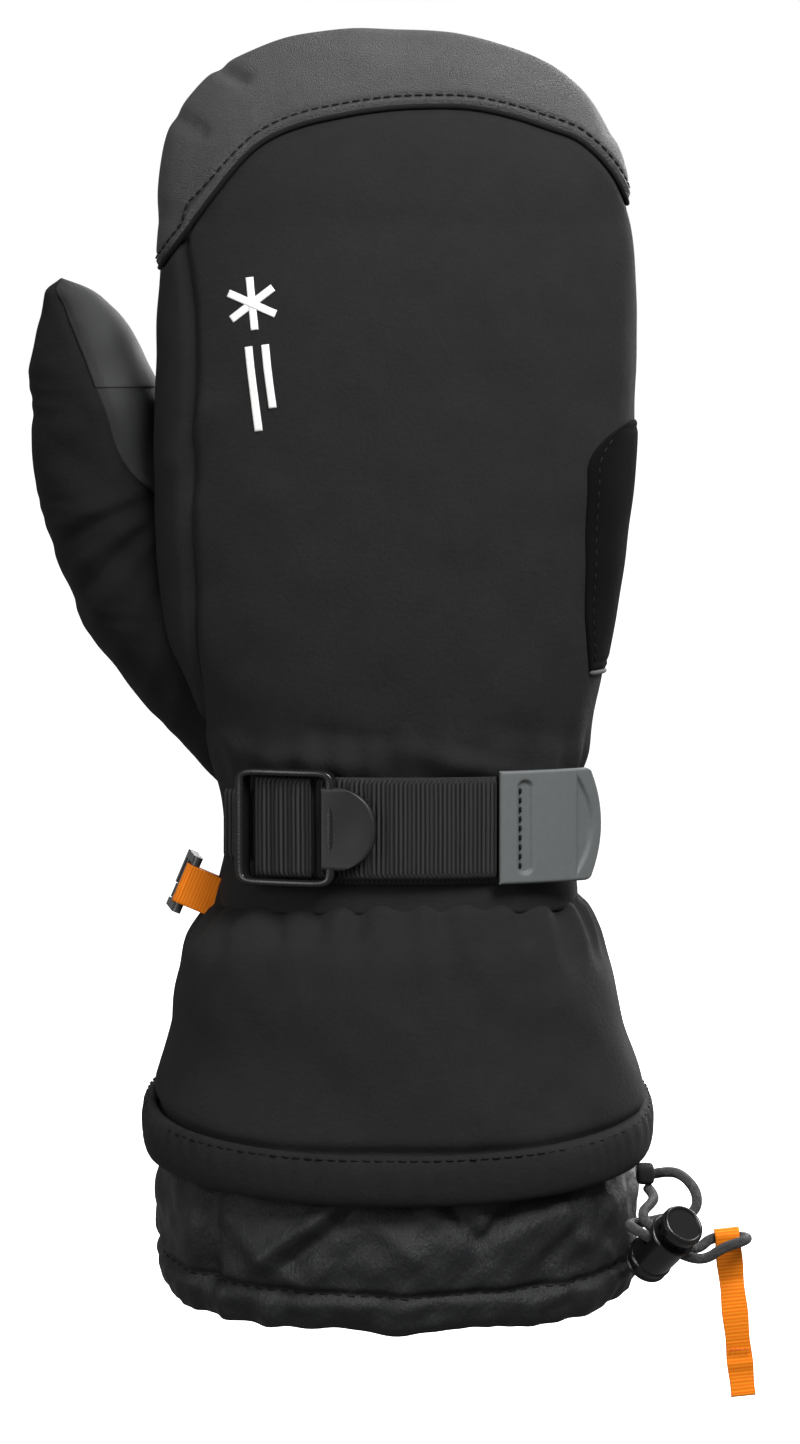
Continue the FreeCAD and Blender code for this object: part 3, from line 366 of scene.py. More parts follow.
def nylon(name, colour, roughness=0.72):
    """Woven nylon: faint uneven dye, fine threads that cross, and a soft sheen at glancing angles."""
    made = finish_of(name, colour, roughness, Sheen_Weight=0.02, Sheen_Roughness=0.5, Specular_IOR_Level=0.09)
    dye = pattern(made, "ShaderNodeTexNoise", "Object", 45, Detail=4.0, Roughness=0.65)
    blotch(made, [0.82 * c for c in colour], [1.22 * c for c in colour], dye.outputs["Fac"])
    for stretch in ((1, 0.15, 1), (0.15, 1, 1)):
        thread = pattern(made, "ShaderNodeTexNoise", "UV", 2600, stretch, Detail=1.0)
        relief(made, thread.outputs["Fac"], 0.10)
    crease = pattern(made, "ShaderNodeTexNoise", "Object", 160, Detail=5.0, Roughness=0.6)
    relief(made, crease.outputs["Fac"], 0.22)
    return made


def panel_grid(rows, columns, low, high, right, left):
    """Turns and levels over a panel of the hand: rows from its lower to its upper edge, columns from its
    right to its left seam. Each edge is a function of the turn or the level, so the grid is settled in a
    few rounds. Also gives each point's distance from the seams on its right, left and top."""
    share, up = np.linspace(0, 1, columns)[None, :], np.linspace(0, 1, rows)[:, None]
    turn = math.pi * share + 0 * up
    for _ in range(5):
        foot, top = low(turn[:1]), high(turn[-1:])
        level = foot + (top - foot) * up
        sides = right(level[:, :1]), left(level[:, -1:])
        turn = sides[0] + (sides[1] - sides[0]) * share
    flat = hand_at(turn, level)
    steps = np.linalg.norm(np.diff(flat, axis=1), axis=2)
    from_right = np.concatenate([0 * up, np.cumsum(steps, 1)], 1)
    return turn, level, flat, from_right, from_right[:, -1:] - from_right, (top - level) + 0 * share


def same(amount):
    """An edge that stays at one turn or level."""
    return lambda place: np.full_like(place, amount)


def gusset_turn(level):
    """The seam down the thumb side of the back, by its place across at each level."""
    return turn_at(smooth(level, hand_levels, (-45, -45.4, -48.4, -51.4, -51.4, -51.2, -53.2, -55.4)), level)


shell_nylon = nylon("shell_nylon", (0.0165, 0.0167, 0.0165))
hand_foot, hand_top = hand_levels[0], tip_start + tip_span
turn, level, flat, from_right, from_left, from_top = panel_grid(
    190, 130, same(hand_foot), seam_on_hand, same(0.0), gusset_turn)
drawn = seam_dip(from_right) + seam_dip(from_left) + seam_dip(from_top, 1.8, 1.1)
back_panel = surface("back_panel", hand_at(turn, level, hand_relief(flat) + drawn), wall=1.0,
                     material=shell_nylon)
belongs(back_panel, "mitten", "shell_fabric", "back_panel")

# The panel between the index finger and the thumb is the same nylon, a narrow strip from the wrist up to
# the cap, sewn to the back panel in front and to the palm behind.
turn, level, flat, from_right, from_left, from_top = panel_grid(
    190, 20, same(hand_foot), seam_on_hand, gusset_turn, same(math.pi))
drawn = seam_dip(from_right) + seam_dip(from_left) + seam_dip(from_top, 1.8, 1.1)
index_panel = surface("index_side_panel", hand_at(turn, level, hand_relief(flat) + drawn), wall=1.0,
                      material=shell_nylon)
belongs(index_panel, "mitten", "shell_fabric", "index_side_panel")

# The cap over the fingertips is pebble-grain synthetic leather. It laps over the nylon at an arched seam,
# goes over the edge of the tip, and is sewn to the palm there.
def pebbled(name, colour, grain=1.0, roughness=0.5):
    """Embossed leather: rounded cells about 1.3 mm across with sunken valleys between them."""
    made = finish_of(name, colour, roughness, Specular_IOR_Level=0.45)
    cells = pattern(made, "ShaderNodeTexVoronoi", "Object", 620 / grain, feature="SMOOTH_F1", Smoothness=0.35)
    relief(made, cells.outputs["Distance"], -0.75)
    pores = pattern(made, "ShaderNodeTexNoise", "Object", 1900 / grain, Detail=3.0)
    relief(made, pores.outputs["Fac"], 0.16)
    wear = pattern(made, "ShaderNodeTexNoise", "Object", 60, Detail=5.0, Roughness=0.7)
    blotch(made, [0.72 * c for c in colour], [1.3 * c for c in colour], wear.outputs["Fac"])
    return made


cap_leather = pebbled("cap_leather", (0.064, 0.063, 0.063))
turn, level, flat, from_right, from_left, from_top = panel_grid(
    110, 150, seam_on_hand, same(hand_top), same(0.0), same(math.pi))
from_foot = level - level[:1]
lapped = 1.0 - 1.0 * np.exp(-(from_foot / 0.7) ** 2) + seam_dip(from_foot - 2.4, 0.7, 0.5)
drawn = seam_dip(from_right) + seam_dip(from_left) + seam_dip(from_top, 2.0, 0.7)
cap = surface("fingertip_cap", hand_at(turn, level, hand_relief(flat) + lapped + drawn), wall=1.2, merge=True,
              material=cap_leather)
belongs(cap, "mitten", "pebble_leather", "fingertip_cap")


# A folded binding is caught in the cap's seam and shows as a narrow dark lip all along the arch.
def tube_along(path, radius, sides=10, flatten=1.0, ends=True):
    """A grid of points round a path: circles across it, squeezed along the second way across, and drawn
    to a point over the last steps when the ends are closed."""
    path = np.asarray(path, float)
    ahead = np.gradient(path, axis=0)
    ahead /= np.linalg.norm(ahead, axis=1, keepdims=True)
    first = np.cross(ahead, (0.0, 1.0, 0.03))
    first /= np.linalg.norm(first, axis=1, keepdims=True)
    second = np.cross(first, ahead)
    size = np.full(len(path), float(radius))
    if ends:
        size[[0, -1]] *= 0.02
        size[[1, -2]] *= 0.75
    around = np.linspace(0, 2 * math.pi, sides, endpoint=False)[None, :, None]
    return path[:, None] + size[:, None, None] * (
        np.cos(around) * first[:, None] + flatten * np.sin(around) * second[:, None])


arch = np.linspace(0.02, math.pi - 0.02, 260)
arch_level = seam_on_hand(arch)
arch_flat = hand_at(arch, arch_level)
piping = surface("cap_piping", tube_along(hand_at(arch, arch_level, hand_relief(arch_flat) - 0.35), 0.7),
                 ring=True, merge=True, material=nylon("piping_cloth", (0.010, 0.010, 0.010), 0.6))
belongs(piping, "mitten", "piping", "cap_piping")


# Topstitching holds the cap's edge down, a row of dark thread 2.4 mm above the seam.
def stitches(name, path, pitch, long, thick, material):
    """Thread along a path: a spindle every pitch, six-sided, tapering to both ends."""
    path = np.asarray(path, float)
    gone = np.concatenate([[0], np.cumsum(np.linalg.norm(np.diff(path, axis=0), axis=1))])
    at = np.arange(pitch / 2, gone[-1], pitch)
    centre = np.stack([np.interp(at, gone, path[:, axis]) for axis in range(3)], -1)
    ahead = np.stack([np.interp(at + 0.3, gone, path[:, axis]) for axis in range(3)], -1) - centre
    ahead /= np.linalg.norm(ahead, axis=1, keepdims=True) + 1e-9
    first = np.cross(ahead, (0.1, 0.9, 0.2))
    first /= np.linalg.norm(first, axis=1, keepdims=True)
    second = np.cross(first, ahead)
    reach, size = np.array([-1, -0.6, 0.6, 1]), np.array([0.15, 1, 1, 0.15])
    around = np.linspace(0, 2 * math.pi, 6, endpoint=False)
    rings = centre[:, None, None] + (
        reach[None, :, None, None] * long / 2 * ahead[:, None, None]
        + size[None, :, None, None] * thick / 2 * (
            np.cos(around)[None, None, :, None] * first[:, None, None]
            + np.sin(around)[None, None, :, None] * second[:, None, None]))
    count = len(centre)
    base = np.arange(count)[:, None] * 24
    walls = np.array([[6 * r + k, 6 * r + (k + 1) % 6, 6 * r + 6 + (k + 1) % 6, 6 * r + 6 + k]
                      for r in range(3) for k in range(6)])
    lids = np.array([[5, 4, 3, 2, 1, 0], [18, 19, 20, 21, 22, 23]])
    mesh = bpy.data.meshes.new(name)
    faces = [*(base[:, :, None] + walls[None]).reshape(-1, 4).tolist(),
             *(base[:, :, None] + lids[None]).reshape(-1, 6).tolist()]
    mesh.from_pydata(rings.reshape(-1, 3) * MM, [], faces)
    shape = bmesh.new()
    shape.from_mesh(mesh)
    bmesh.ops.recalc_face_normals(shape, faces=shape.faces)
    shape.to_mesh(mesh)
    shape.free()
    mesh.shade_smooth()
    mesh.materials.append(material)
    piece = bpy.data.objects.new(name, mesh)
    scene.collection.objects.link(piece)
    return piece


thread = finish_of("dark_thread", (0.0075, 0.0075, 0.0075), 0.6, Specular_IOR_Level=0.12)
stitch_line = hand_at(arch, arch_level + 2.4, hand_relief(arch_flat) + 0.75)
cap_stitches = stitches("cap_stitches", stitch_line, 2.6, 2.0, 0.55, thread)
belongs(cap_stitches, "mitten", "thread")

# The palm is one panel of the same pebbled leather from the wrist over the fingertips, sewn to the back,
# the cap and the thumb.
palm_leather = pebbled("palm_leather", (0.040, 0.039, 0.038), 1.25, 0.58)
turn, level, flat, from_right, from_left, from_top = panel_grid(
    230, 150, same(hand_foot), same(hand_top), same(2 * math.pi), same(math.pi))
drawn = seam_dip(from_right) + seam_dip(from_left) + seam_dip(from_top, 2.0, 0.7)
palm = surface("palm_panel", hand_at(turn, level, hand_relief(flat) + drawn), wall=1.0, merge=True,
               material=palm_leather)
belongs(palm, "mitten", "pebble_leather", "palm_panel")

# A suede patch wraps the little-finger edge, where the hand wears: a rounded top, a nearly straight front
# edge and a bound foot. It lies on the shell, half a millimetre thick, and its rim is stitched down.
patch_foot, patch_top = 151.0, 213.5
share, up = np.linspace(0, 1, 70)[None, :], np.linspace(0, 1, 90)[:, None]
height = patch_foot + (patch_top - patch_foot) * up
front_x = 45.2 + 13 * np.clip((height - 200) / (patch_top - 200), 0, 1) ** 2.2 + 1.1 * np.clip(
    (165 - height) / 14, 0, 1)
front_turn = turn_at(front_x, height)
turn = front_turn * (1 - share) + (-0.9 * front_turn) * share
flat = hand_at(turn, height + 0 * share)
rim = np.minimum(np.minimum(share, 1 - share) * 52, np.minimum(up, 1 - up) * (patch_top - patch_foot))
raised = 0.15 + 0.75 * (1 - np.exp(-(rim / 0.8) ** 2)) + seam_dip(rim - 2.2, 0.7, 0.35)
suede = finish_of("black_suede", (0.0055, 0.0055, 0.0056), 0.95, Sheen_Weight=0.01, Sheen_Roughness=0.6,
                  Specular_IOR_Level=0.04)
nap = pattern(suede, "ShaderNodeTexNoise", "Object", 420, Detail=6.0, Roughness=0.75)
blotch(suede, (0.0022, 0.0022, 0.0023), (0.0065, 0.0065, 0.0065), nap.outputs["Fac"])
relief(suede, nap.outputs["Fac"], 0.25)
patch_relief = hand_relief(flat) + seam_dip(turn * 40)
patch = surface("pinky_edge_patch", hand_at(turn, height + 0 * share, patch_relief + raised), wall=0.9,
                material=suede)
belongs(patch, "mitten", "suede", "pinky_edge_patch")
binding_line = hand_at(turn[0], height[0] - 0.3 + 0 * share[0], patch_relief[0] + 0.35)
binding = surface("patch_binding", tube_along(binding_line, 0.6), ring=True, merge=True,
                  material=nylon("light_binding", (0.09, 0.09, 0.088), 0.6))
belongs(binding, "mitten", "piping")
column = 4
patch_stitches = stitches(
    "patch_stitches", hand_at(turn[3:-6, column], height[3:-6, 0], patch_relief[3:-6, column] + 0.75),
    2.9, 1.9, 0.5, thread)
belongs(patch_stitches, "mitten", "thread")

# A heat-transfer print sits on the back near the index finger: a six-armed snow crystal over two plain
# bars, white film a quarter of a millimetre thick that follows the cloth.
film = finish_of("white_print", (0.80, 0.80, 0.79), 0.42)
grain = pattern(film, "ShaderNodeTexNoise", "Object", 900, Detail=3.0)
relief(film, grain.outputs["Fac"], 0.04)
blotch(film, (0.74, 0.74, 0.73), (0.84, 0.84, 0.83), grain.outputs["Fac"])
print_x, print_z, lean = -36.4, 242.0, math.radians(7)
span, stroke = 13.0, 1.9
bars = [(0.0, 0.0, span, math.radians(30 + 60 * arm)) for arm in range(3)]
bars += [(-stroke, -1.6 * span, 1.6 * span, math.pi / 2),
         (1.2 * stroke, -1.4 * span, 1.2 * span, math.pi / 2)]
for number, (aside, above, long, way) in enumerate(bars):
    s, w = np.meshgrid(np.linspace(-long / 2, long / 2, 40), np.linspace(-stroke / 2, stroke / 2, 7))
    x, z = aside + s * math.cos(way) - w * math.sin(way), above + s * math.sin(way) + w * math.cos(way)
    x, z = (print_x + x * math.cos(lean) - z * math.sin(lean),
            print_z + x * math.sin(lean) + z * math.cos(lean))
    turn = turn_at(x, z)
    flat = hand_at(turn, z)
    bar = surface(f"back_print_{number}", hand_at(turn, z, hand_relief(flat) + 0.22 + 0.01 * number),
                  wall=0.25,
                  material=film)
    belongs(bar, "mitten", "white_print")
    if number == 0:
        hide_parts("back_print")

# Inside the hand: a waterproof film, two quilted pads of polyester wadding that meet along the sides, a
# gathering elastic at the wrist, and a brushed lining. Each is a shell drawn in from the one outside it.
def hand_shell(name, inset, wall, material, turns=(0.0, 2 * math.pi), low=94.5, high=tip_start + tip_span):
    """A closed or half-round shell of the hand, its outside inset from the cloth."""
    whole = turns[1] - turns[0] > 6.2
    turn = np.linspace(*turns, 73)[None, : 72 if whole else 73]
    level = np.linspace(low, high, 120)[:, None]
    points = hand_at(turn + 0 * level, level + 0 * turn, -inset)
    return surface(name, points, ring=whole, wall=wall, merge=True, material=material)


membrane = finish_of("membrane", (0.55, 0.57, 0.60), 0.35, Specular_IOR_Level=0.4)
creased = pattern(membrane, "ShaderNodeTexNoise", "Object", 90, Detail=5.0)
relief(membrane, creased.outputs["Fac"], 0.4)
wadding = finish_of("wadding", (0.62, 0.61, 0.58), 0.95, Sheen_Weight=0.3)
fluff = pattern(wadding, "ShaderNodeTexNoise", "Object", 350, Detail=6.0, Roughness=0.8)
relief(wadding, fluff.outputs["Fac"], 0.6)
brushed = finish_of("brushed_lining", (0.030, 0.030, 0.032), 0.92, Sheen_Weight=0.4)
pile = pattern(brushed, "ShaderNodeTexNoise", "Object", 700, Detail=5.0, Roughness=0.7)
relief(brushed, pile.outputs["Fac"], 0.3)
blotch(brushed, (0.020, 0.020, 0.022), (0.045, 0.045, 0.048), pile.outputs["Fac"])
half_turn = math.pi
for name, inset, wall, material, kind, turns, node in (
    ("waterproof_insert", 3.6, 0.3, membrane, "membrane", (0, 2 * half_turn), "waterproof_insert"),
    ("back_insulation", 4.4, 3.0, wadding, "filling", (0.03, half_turn - 0.03), "back_insulation"),
    ("palm_insulation", 4.4, 3.0, wadding, "filling", (half_turn + 0.03, 2 * half_turn - 0.03),
     "palm_insulation"),
    ("hand_lining", 7.8, 0.7, brushed, "lining", (0, 2 * half_turn), "hand_lining"),
):
    layer = hand_shell(name, inset, wall, material, turns)
    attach(layer, "mitten")
    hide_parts(node)
rubbery = finish_of("ribbed_elastic", (0.045, 0.045, 0.046), 0.8)
ribs = pattern(rubbery, "ShaderNodeTexWave", "UV", 900, bands_direction="Y", Scale=1.0)
relief(rubbery, ribs.outputs["Fac"], 0.2)
gatherer = hand_shell("wrist_elastic", 2.1, 0.9, rubbery, low=98.5, high=106)
belongs(gatherer, "mitten", "elastic", "wrist_elastic")

# The thumb is sewn from a plain nylon back and a grip of dotted synthetic leather, which faces the palm
# and the index finger. Both ends of the seam between them meet at the thumb's tip.
thumb_levels = (122, 136, 146, 156, 170, 186, 200, 218, 232, 241, 245.6, 248.2)
thumb_wide = (5.5, 13.2, 18.4, 21.6, 22.9, 20.6, 18.1, 16.3, 12.8, 8.6, 5.2, 0.2)
thumb_deep = (8, 13, 16.5, 19, 19.5, 18.5, 17.4, 16, 12.6, 8.2, 4.8, 0.2)
thumb_x = (-39.6, -45.2, -49.8, -54.5, -60.8, -68.4, -73.9, -76.2, -78.6, -81.2, -83.4, -85.2)
thumb_y = (4, 7, 9, 11, 13, 15, 17, 18, 18.5, 18.5, 18.5, 18.5)
seam_degrees = (5, 8, 12, 16, 22, 30, 68, 86, 98, 112, 124, 130)
thumb_folds = [
    ((-63, 196), (-86, 186), 2.6, 1.1), ((-62, 190), (-84, 174), 2.4, 1.1),
    ((-61, 184), (-77, 163), 2.4, 1.0),
    ((-60, 178), (-70, 154), 2.6, 0.9), ((-64, 193), (-88, 181), 1.8, -1.0),
    ((-62, 187), (-82, 168), 1.8, -1.0),
    ((-58, 170), (-62, 146), 2.6, 0.8), ((-54, 160), (-56, 138), 2.4, 0.7),
    ((-90, 205), (-80, 214), 3.0, 0.6),
    ((-88, 228), (-80, 236), 2.2, -0.7), ((-84, 206), (-74, 198), 4.0, -0.5),
]


def thumb_at(turn, level, out=0.0):
    """The thumb's surface: level ovals about a line that leans away from the hand."""
    taper = np.clip((248.2 - level) / 6, 0, 1)
    return oval(
        turn,
        smooth(level, thumb_levels, thumb_wide) + out * taper,
        smooth(level, thumb_levels, thumb_deep) + out * taper,
        smooth(level, thumb_levels, thumb_x),
        smooth(level, thumb_levels, thumb_y),
        level, 2.15)


def thumb_relief(points):
    """The folds that run out from the crotch, puckers along the lower seam, and ripples."""
    x, y, z = points[..., 0], points[..., 1], points[..., 2]
    total = ripple(x, y, z, 30, 0.55, 11) + ripple(x, y, z, 13, 0.26, 12)
    front = 1 / (1 + np.exp((y - 14) / 3))
    for start, end, width, height in thumb_folds:
        total = total + front * fold(x, z, start, end, width, height)
    outer = np.exp(-(((x - smooth(z, thumb_levels, thumb_x)) / 9 + 1.6) ** 2))
    return total + 0.16 * outer * np.sin(z * 0.9 + 2.6 * np.sin(z * 0.23)) * np.sin(z * 0.11)


def thumb_panel(name, first, last, low, high, columns, rows, material, lift=0.0):
    """A panel of the thumb between two turns, each a function of the level."""
    share, up = np.linspace(0, 1, columns)[None, :], np.linspace(0, 1, rows)[:, None]
    level = low + (high - low) * up + 0 * share
    turn = first(level) + (last(level) - first(level)) * share
    flat = thumb_at(turn, level)
    steps = np.concatenate([0 * up, np.cumsum(np.linalg.norm(np.diff(flat, axis=1), axis=2), 1)], 1)
    drawn = seam_dip(steps, 1.8, 1.0) + seam_dip(steps[:, -1:] - steps, 1.8, 1.0)
    return surface(name, thumb_at(turn, level, thumb_relief(flat) + drawn + lift), wall=1.0, merge=True,
                   material=material)


def front_seam(level):
    return np.radians(smooth(level, thumb_levels, seam_degrees))


def rear_seam(level):
    return 0 * level + math.radians(232)


def grip_leather(name, colour, pitch):
    """Synthetic leather printed with rows of small raised rubber dots, pitch millimetres apart."""
    made = finish_of(name, colour, 0.6, Specular_IOR_Level=0.35)
    dots = pattern(made, "ShaderNodeTexVoronoi", "UV", 1000 / pitch, turn=0.785, Randomness=0.0)
    ramp = made.node_tree.nodes.new("ShaderNodeMapRange")
    place(ramp, From_Min=0.26, From_Max=0.38, To_Min=1.0, To_Max=0.0)
    made.node_tree.links.new(dots.outputs["Distance"], ramp.inputs["Value"])
    blotch(made, colour, [0.35 * c for c in colour], ramp.outputs["Result"])
    relief(made, ramp.outputs["Result"], 0.18)
    skin = pattern(made, "ShaderNodeTexNoise", "Object", 1300, Detail=4.0)
    relief(made, skin.outputs["Fac"], 0.08)
    return made


# The thumb's back is the shell's nylon painted about half as dark. That is painted shade for the light that the hand
# keeps off the thumb.
shaded_thumb_nylon = nylon("shaded_thumb_nylon", (0.0085, 0.0086, 0.0085))
thumb_back = thumb_panel("thumb_back_panel", front_seam, rear_seam, thumb_levels[0], thumb_levels[-1], 90,
                         170,
                         shaded_thumb_nylon)
tip_grip = thumb_panel("thumb_tip_grip", lambda level: rear_seam(level) - 2 * math.pi, front_seam, 221.0,
                       thumb_levels[-1], 80, 60,
                       grip_leather("tip_grip_leather", (0.040, 0.041, 0.041), 1.25), 0.3)
base_grip = thumb_panel("thumb_base_grip", lambda level: rear_seam(level) - 2 * math.pi, front_seam,
                        thumb_levels[0], 222.0, 90, 130,
                        grip_leather("base_grip_leather", (0.033, 0.034, 0.034), 1.0))
for piece, kind, node in ((thumb_back, "shell_fabric", "thumb_back_panel"),
                          (tip_grip, "grip_leather", "thumb_grip"),
                          (base_grip, "grip_leather", "thumb_grip")):
    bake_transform(piece)
    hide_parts(node)
for name, inset, wall, material, kind in (("thumb_insulation", 2.2, 3.0, wadding, "filling"),
                                          ("thumb_lining", 5.4, 0.6, brushed, "lining")):
    turn, level = np.meshgrid(np.linspace(0, 2 * math.pi, 60, endpoint=False), np.linspace(150, 243, 60))
    layer = surface(name, thumb_at(turn, level, -inset), ring=True, wall=wall, material=material)
    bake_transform(layer)
    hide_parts(name)

# The gauntlet flares from the wrist seam down to its hem: a shell of the same charcoal nylon over thin
# wadding and a lining. Its hem tilts down towards the back of the hand, and the strap gathers its top.
gauntlet_levels = (40, 44, 62, 76, 84, 89, 94)
gauntlet_wide = (61.8, 61.6, 57.0, 54.6, 52.2, 49.0, 45.0)
gauntlet_deep = (45.4, 45.0, 41.2, 38.6, 36.6, 34.0, 30.8)
gauntlet_x = (-0.4, -0.4, -0.6, -1.3, -1.9, -1.3, -0.6)
gauntlet_tilt = (1, 1, 0.6, 0.3, 0.15, 0.05, 0)
tilt = math.tan(math.radians(12))
gauntlet_folds = [
    ((-33, 101), (-29, 84), 2.2, -1.3), ((-24, 100), (-20, 88), 2.0, -1.0), ((27, 101), (31, 84), 2.4, -1.2),
    ((36, 99), (44, 78), 2.6, -1.2), ((41, 99), (50, 82), 2.0, 0.9), ((-41, 98), (-45, 82), 2.6, -1.0),
    ((8, 101), (10, 88), 2.4, -0.7), ((-10, 100), (-12, 86), 2.6, -0.8), ((31, 93), (40, 66), 5.0, 0.8),
    ((-38, 90), (-47, 62), 6.0, 0.7), ((-5, 84), (-12, 54), 9.0, 0.6), ((16, 80), (24, 52), 8.0, -0.6),
]


def gauntlet_at(turn, level, out=0.0):
    """The gauntlet's surface: ovals that tilt more and more towards the hem."""
    points = oval(turn, smooth(level, gauntlet_levels, gauntlet_wide) + out,
                  smooth(level, gauntlet_levels, gauntlet_deep) + out,
                  smooth(level, gauntlet_levels, gauntlet_x), 0.0, level)
    points[..., 2] += points[..., 1] * tilt * smooth(level, gauntlet_levels, gauntlet_tilt)
    return points


def gauntlet_relief(points, turn, level):
    """Gathers under the strap that die away downwards, a few long folds, and ripples."""
    x, y, z = points[..., 0], points[..., 1], points[..., 2]
    total = ripple(x, y, z, 48, 0.7, 21) + ripple(x, y, z, 15, 0.18, 22)
    front = 1 / (1 + np.exp(y / 3))
    for start, end, width, height in gauntlet_folds:
        total = total + front * fold(x, z, start, end, width, height)
    gather = np.exp(-(((level - 91) / 8) ** 2)) * np.sin(27 * turn + 2.2 * np.sin(4 * turn) + 1.0)
    return total + 0.75 * gather


turn, level = np.meshgrid(np.linspace(0, 2 * math.pi, 380, endpoint=False), np.linspace(40.5, 94.5, 70))
flat = gauntlet_at(turn, level)
out = gauntlet_relief(flat, turn, level) + seam_dip(level - 43.5, 1.8, 1.6) + seam_dip(95 - level, 1.5, 1.2)
gauntlet = surface("gauntlet_shell", gauntlet_at(turn, level, out), ring=True, wall=1.0, material=shell_nylon)
belongs(gauntlet, "mitten", "shell_fabric", "gauntlet_shell")
for name, inset, wall, material, kind in (("gauntlet_insulation", 3.2, 1.6, wadding, "filling"),
                                          ("gauntlet_lining", 5.2, 0.7, brushed, "lining")):
    turn, level = np.meshgrid(np.linspace(0, 2 * math.pi, 120, endpoint=False), np.linspace(45, 94, 30))
    layer = surface(name, gauntlet_at(turn, level, -inset), ring=True, wall=wall, material=material)
    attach(layer, "mitten")
    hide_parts(name)

# The hem is a folded band of the same nylon over a roll of wadding, sewn through along its top, with an
# elastic drawcord inside. The sewing puckers it.
hem_nylon = nylon("hem_nylon", (0.0145, 0.0148, 0.0146))
hem_level, hem_wide, hem_deep, hem_x, hem_tall, hem_fat = 37.9, 61.6, 44.9, -0.6, 6.1, 2.5


def band_at(turn, roll, level, wide, deep, centre_x, tall, fat):
    """A tilted band that runs round the mitten: a rounded-off oval section, carried round a larger oval."""
    cos, sin = np.cos(roll), np.sin(roll)
    out = fat * np.sign(cos) * np.abs(cos) ** 0.8
    points = oval(turn, wide + out, deep + out, centre_x, 0.0,
                  level + tall * np.sign(sin) * np.abs(sin) ** 0.85)
    points[..., 2] += points[..., 1] * tilt
    return points


turn, roll = np.meshgrid(np.linspace(0, 2 * math.pi, 460, endpoint=False),
                         np.linspace(0, 2 * math.pi, 32, endpoint=False))
pucker = np.sin(71 * turn + 1.5 * np.sin(9 * turn)) * (0.5 + 0.5 * np.sin(5 * turn + 1) ** 2)
plump = (hem_fat + ripple(60 * np.cos(turn), 45 * np.sin(turn), 0, 26, 0.35, 31)
         + 0.28 * pucker * np.clip(np.sin(roll) + 0.4, 0, 1))
hem_band = surface("gauntlet_hem_band", band_at(
    turn, roll, hem_level + 0.3 * np.sin(3 * turn), hem_wide, hem_deep, hem_x, hem_tall, plump),
    ring=True, tube=True, material=hem_nylon)
belongs(hem_band, "mitten", "hem_fabric", "gauntlet_hem_band")
around = np.linspace(0, 2 * math.pi, 900)
hem_stitches = stitches("hem_stitches", band_at(around, 1.02, hem_level, hem_wide, hem_deep, hem_x, hem_tall,
                                                hem_fat + 0.12), 2.9, 2.1, 0.6, thread)
belongs(hem_stitches, "mitten", "thread")

# The snow cuff is thin crinkled nylon that hangs out below the hem and closes round the wrist inside the
# jacket sleeve. Its turned edge is a channel with an elastic in it, which draws it into small waves.
cuff_levels = (0, 7, 16, 24, 34, 50)
cuff_wide = (58.2, 60.0, 60.2, 60.0, 57.0, 53.2)
cuff_deep = (42.0, 43.6, 43.9, 43.6, 40.6, 37.2)
cuff_nylon = finish_of("crinkled_nylon", (0.0130, 0.0136, 0.0145), 0.44, Specular_IOR_Level=0.25)
shade = pattern(cuff_nylon, "ShaderNodeTexNoise", "Object", 70, Detail=5.0)
blotch(cuff_nylon, (0.0095, 0.0100, 0.0108), (0.0170, 0.0176, 0.0186), shade.outputs["Fac"])
crinkle = pattern(cuff_nylon, "ShaderNodeTexNoise", "Object", 210, (1, 1, 0.5), Detail=6.0, Roughness=0.65)
relief(cuff_nylon, crinkle.outputs["Fac"], 0.5)
cuff_folds = [
    ((-14, 24), (-35, 8), 2.2, 1.6), ((-10, 21), (-31, 5), 2.0, -1.4), ((10, 26), (20, 12), 1.8, -1.5),
    ((30, 24), (20, 12), 1.8, -1.5), ((14, 27), (27, 25), 2.4, 1.2), ((-46, 30), (-47, 2), 2.4, -1.5),
    ((-49, 28), (-50, 4), 2.4, 1.3), ((-56, 26), (-52, 10), 2.4, 0.9), ((38, 24), (46, 10), 2.4, 1.2),
    ((48, 26), (54, 8), 2.2, -1.1), ((-6, 18), (6, 8), 2.6, 0.9), ((0, 26), (8, 14), 3.0, -0.8),
    ((44, 18), (36, 6), 2.2, -0.9), ((-40, 14), (-24, 2), 2.2, 0.8),
]


def cuff_at(turn, level, out=0.0):
    """The snow cuff's surface: tilted ovals."""
    points = oval(turn, smooth(level, cuff_levels, cuff_wide) + out,
                  smooth(level, cuff_levels, cuff_deep) + out,
                  -0.4, 0.0, level)
    points[..., 2] += points[..., 1] * tilt
    return points


def cuff_relief(points, turn, level):
    """Sharp crossing folds, ripples, and the waves that the elastic gathers at the edge."""
    x, y, z = points[..., 0], points[..., 1], points[..., 2]
    front = 1 / (1 + np.exp(y / 3))
    total = ripple(x, y, z, 24, 0.7, 41) + ripple(x, y, z, 11, 0.35, 42) + ripple(x, y, z, 6, 0.12, 43)
    for start, end, width, height in cuff_folds:
        total = total + front * fold(x, z, start, end, width, height)
    edge = np.exp(-((level / 11) ** 2))
    waves = np.sin(19 * turn + 2.5 * np.sin(3 * turn)) + 0.5 * np.sin(47 * turn + 3 * np.sin(5 * turn))
    return total + 0.42 * edge * waves


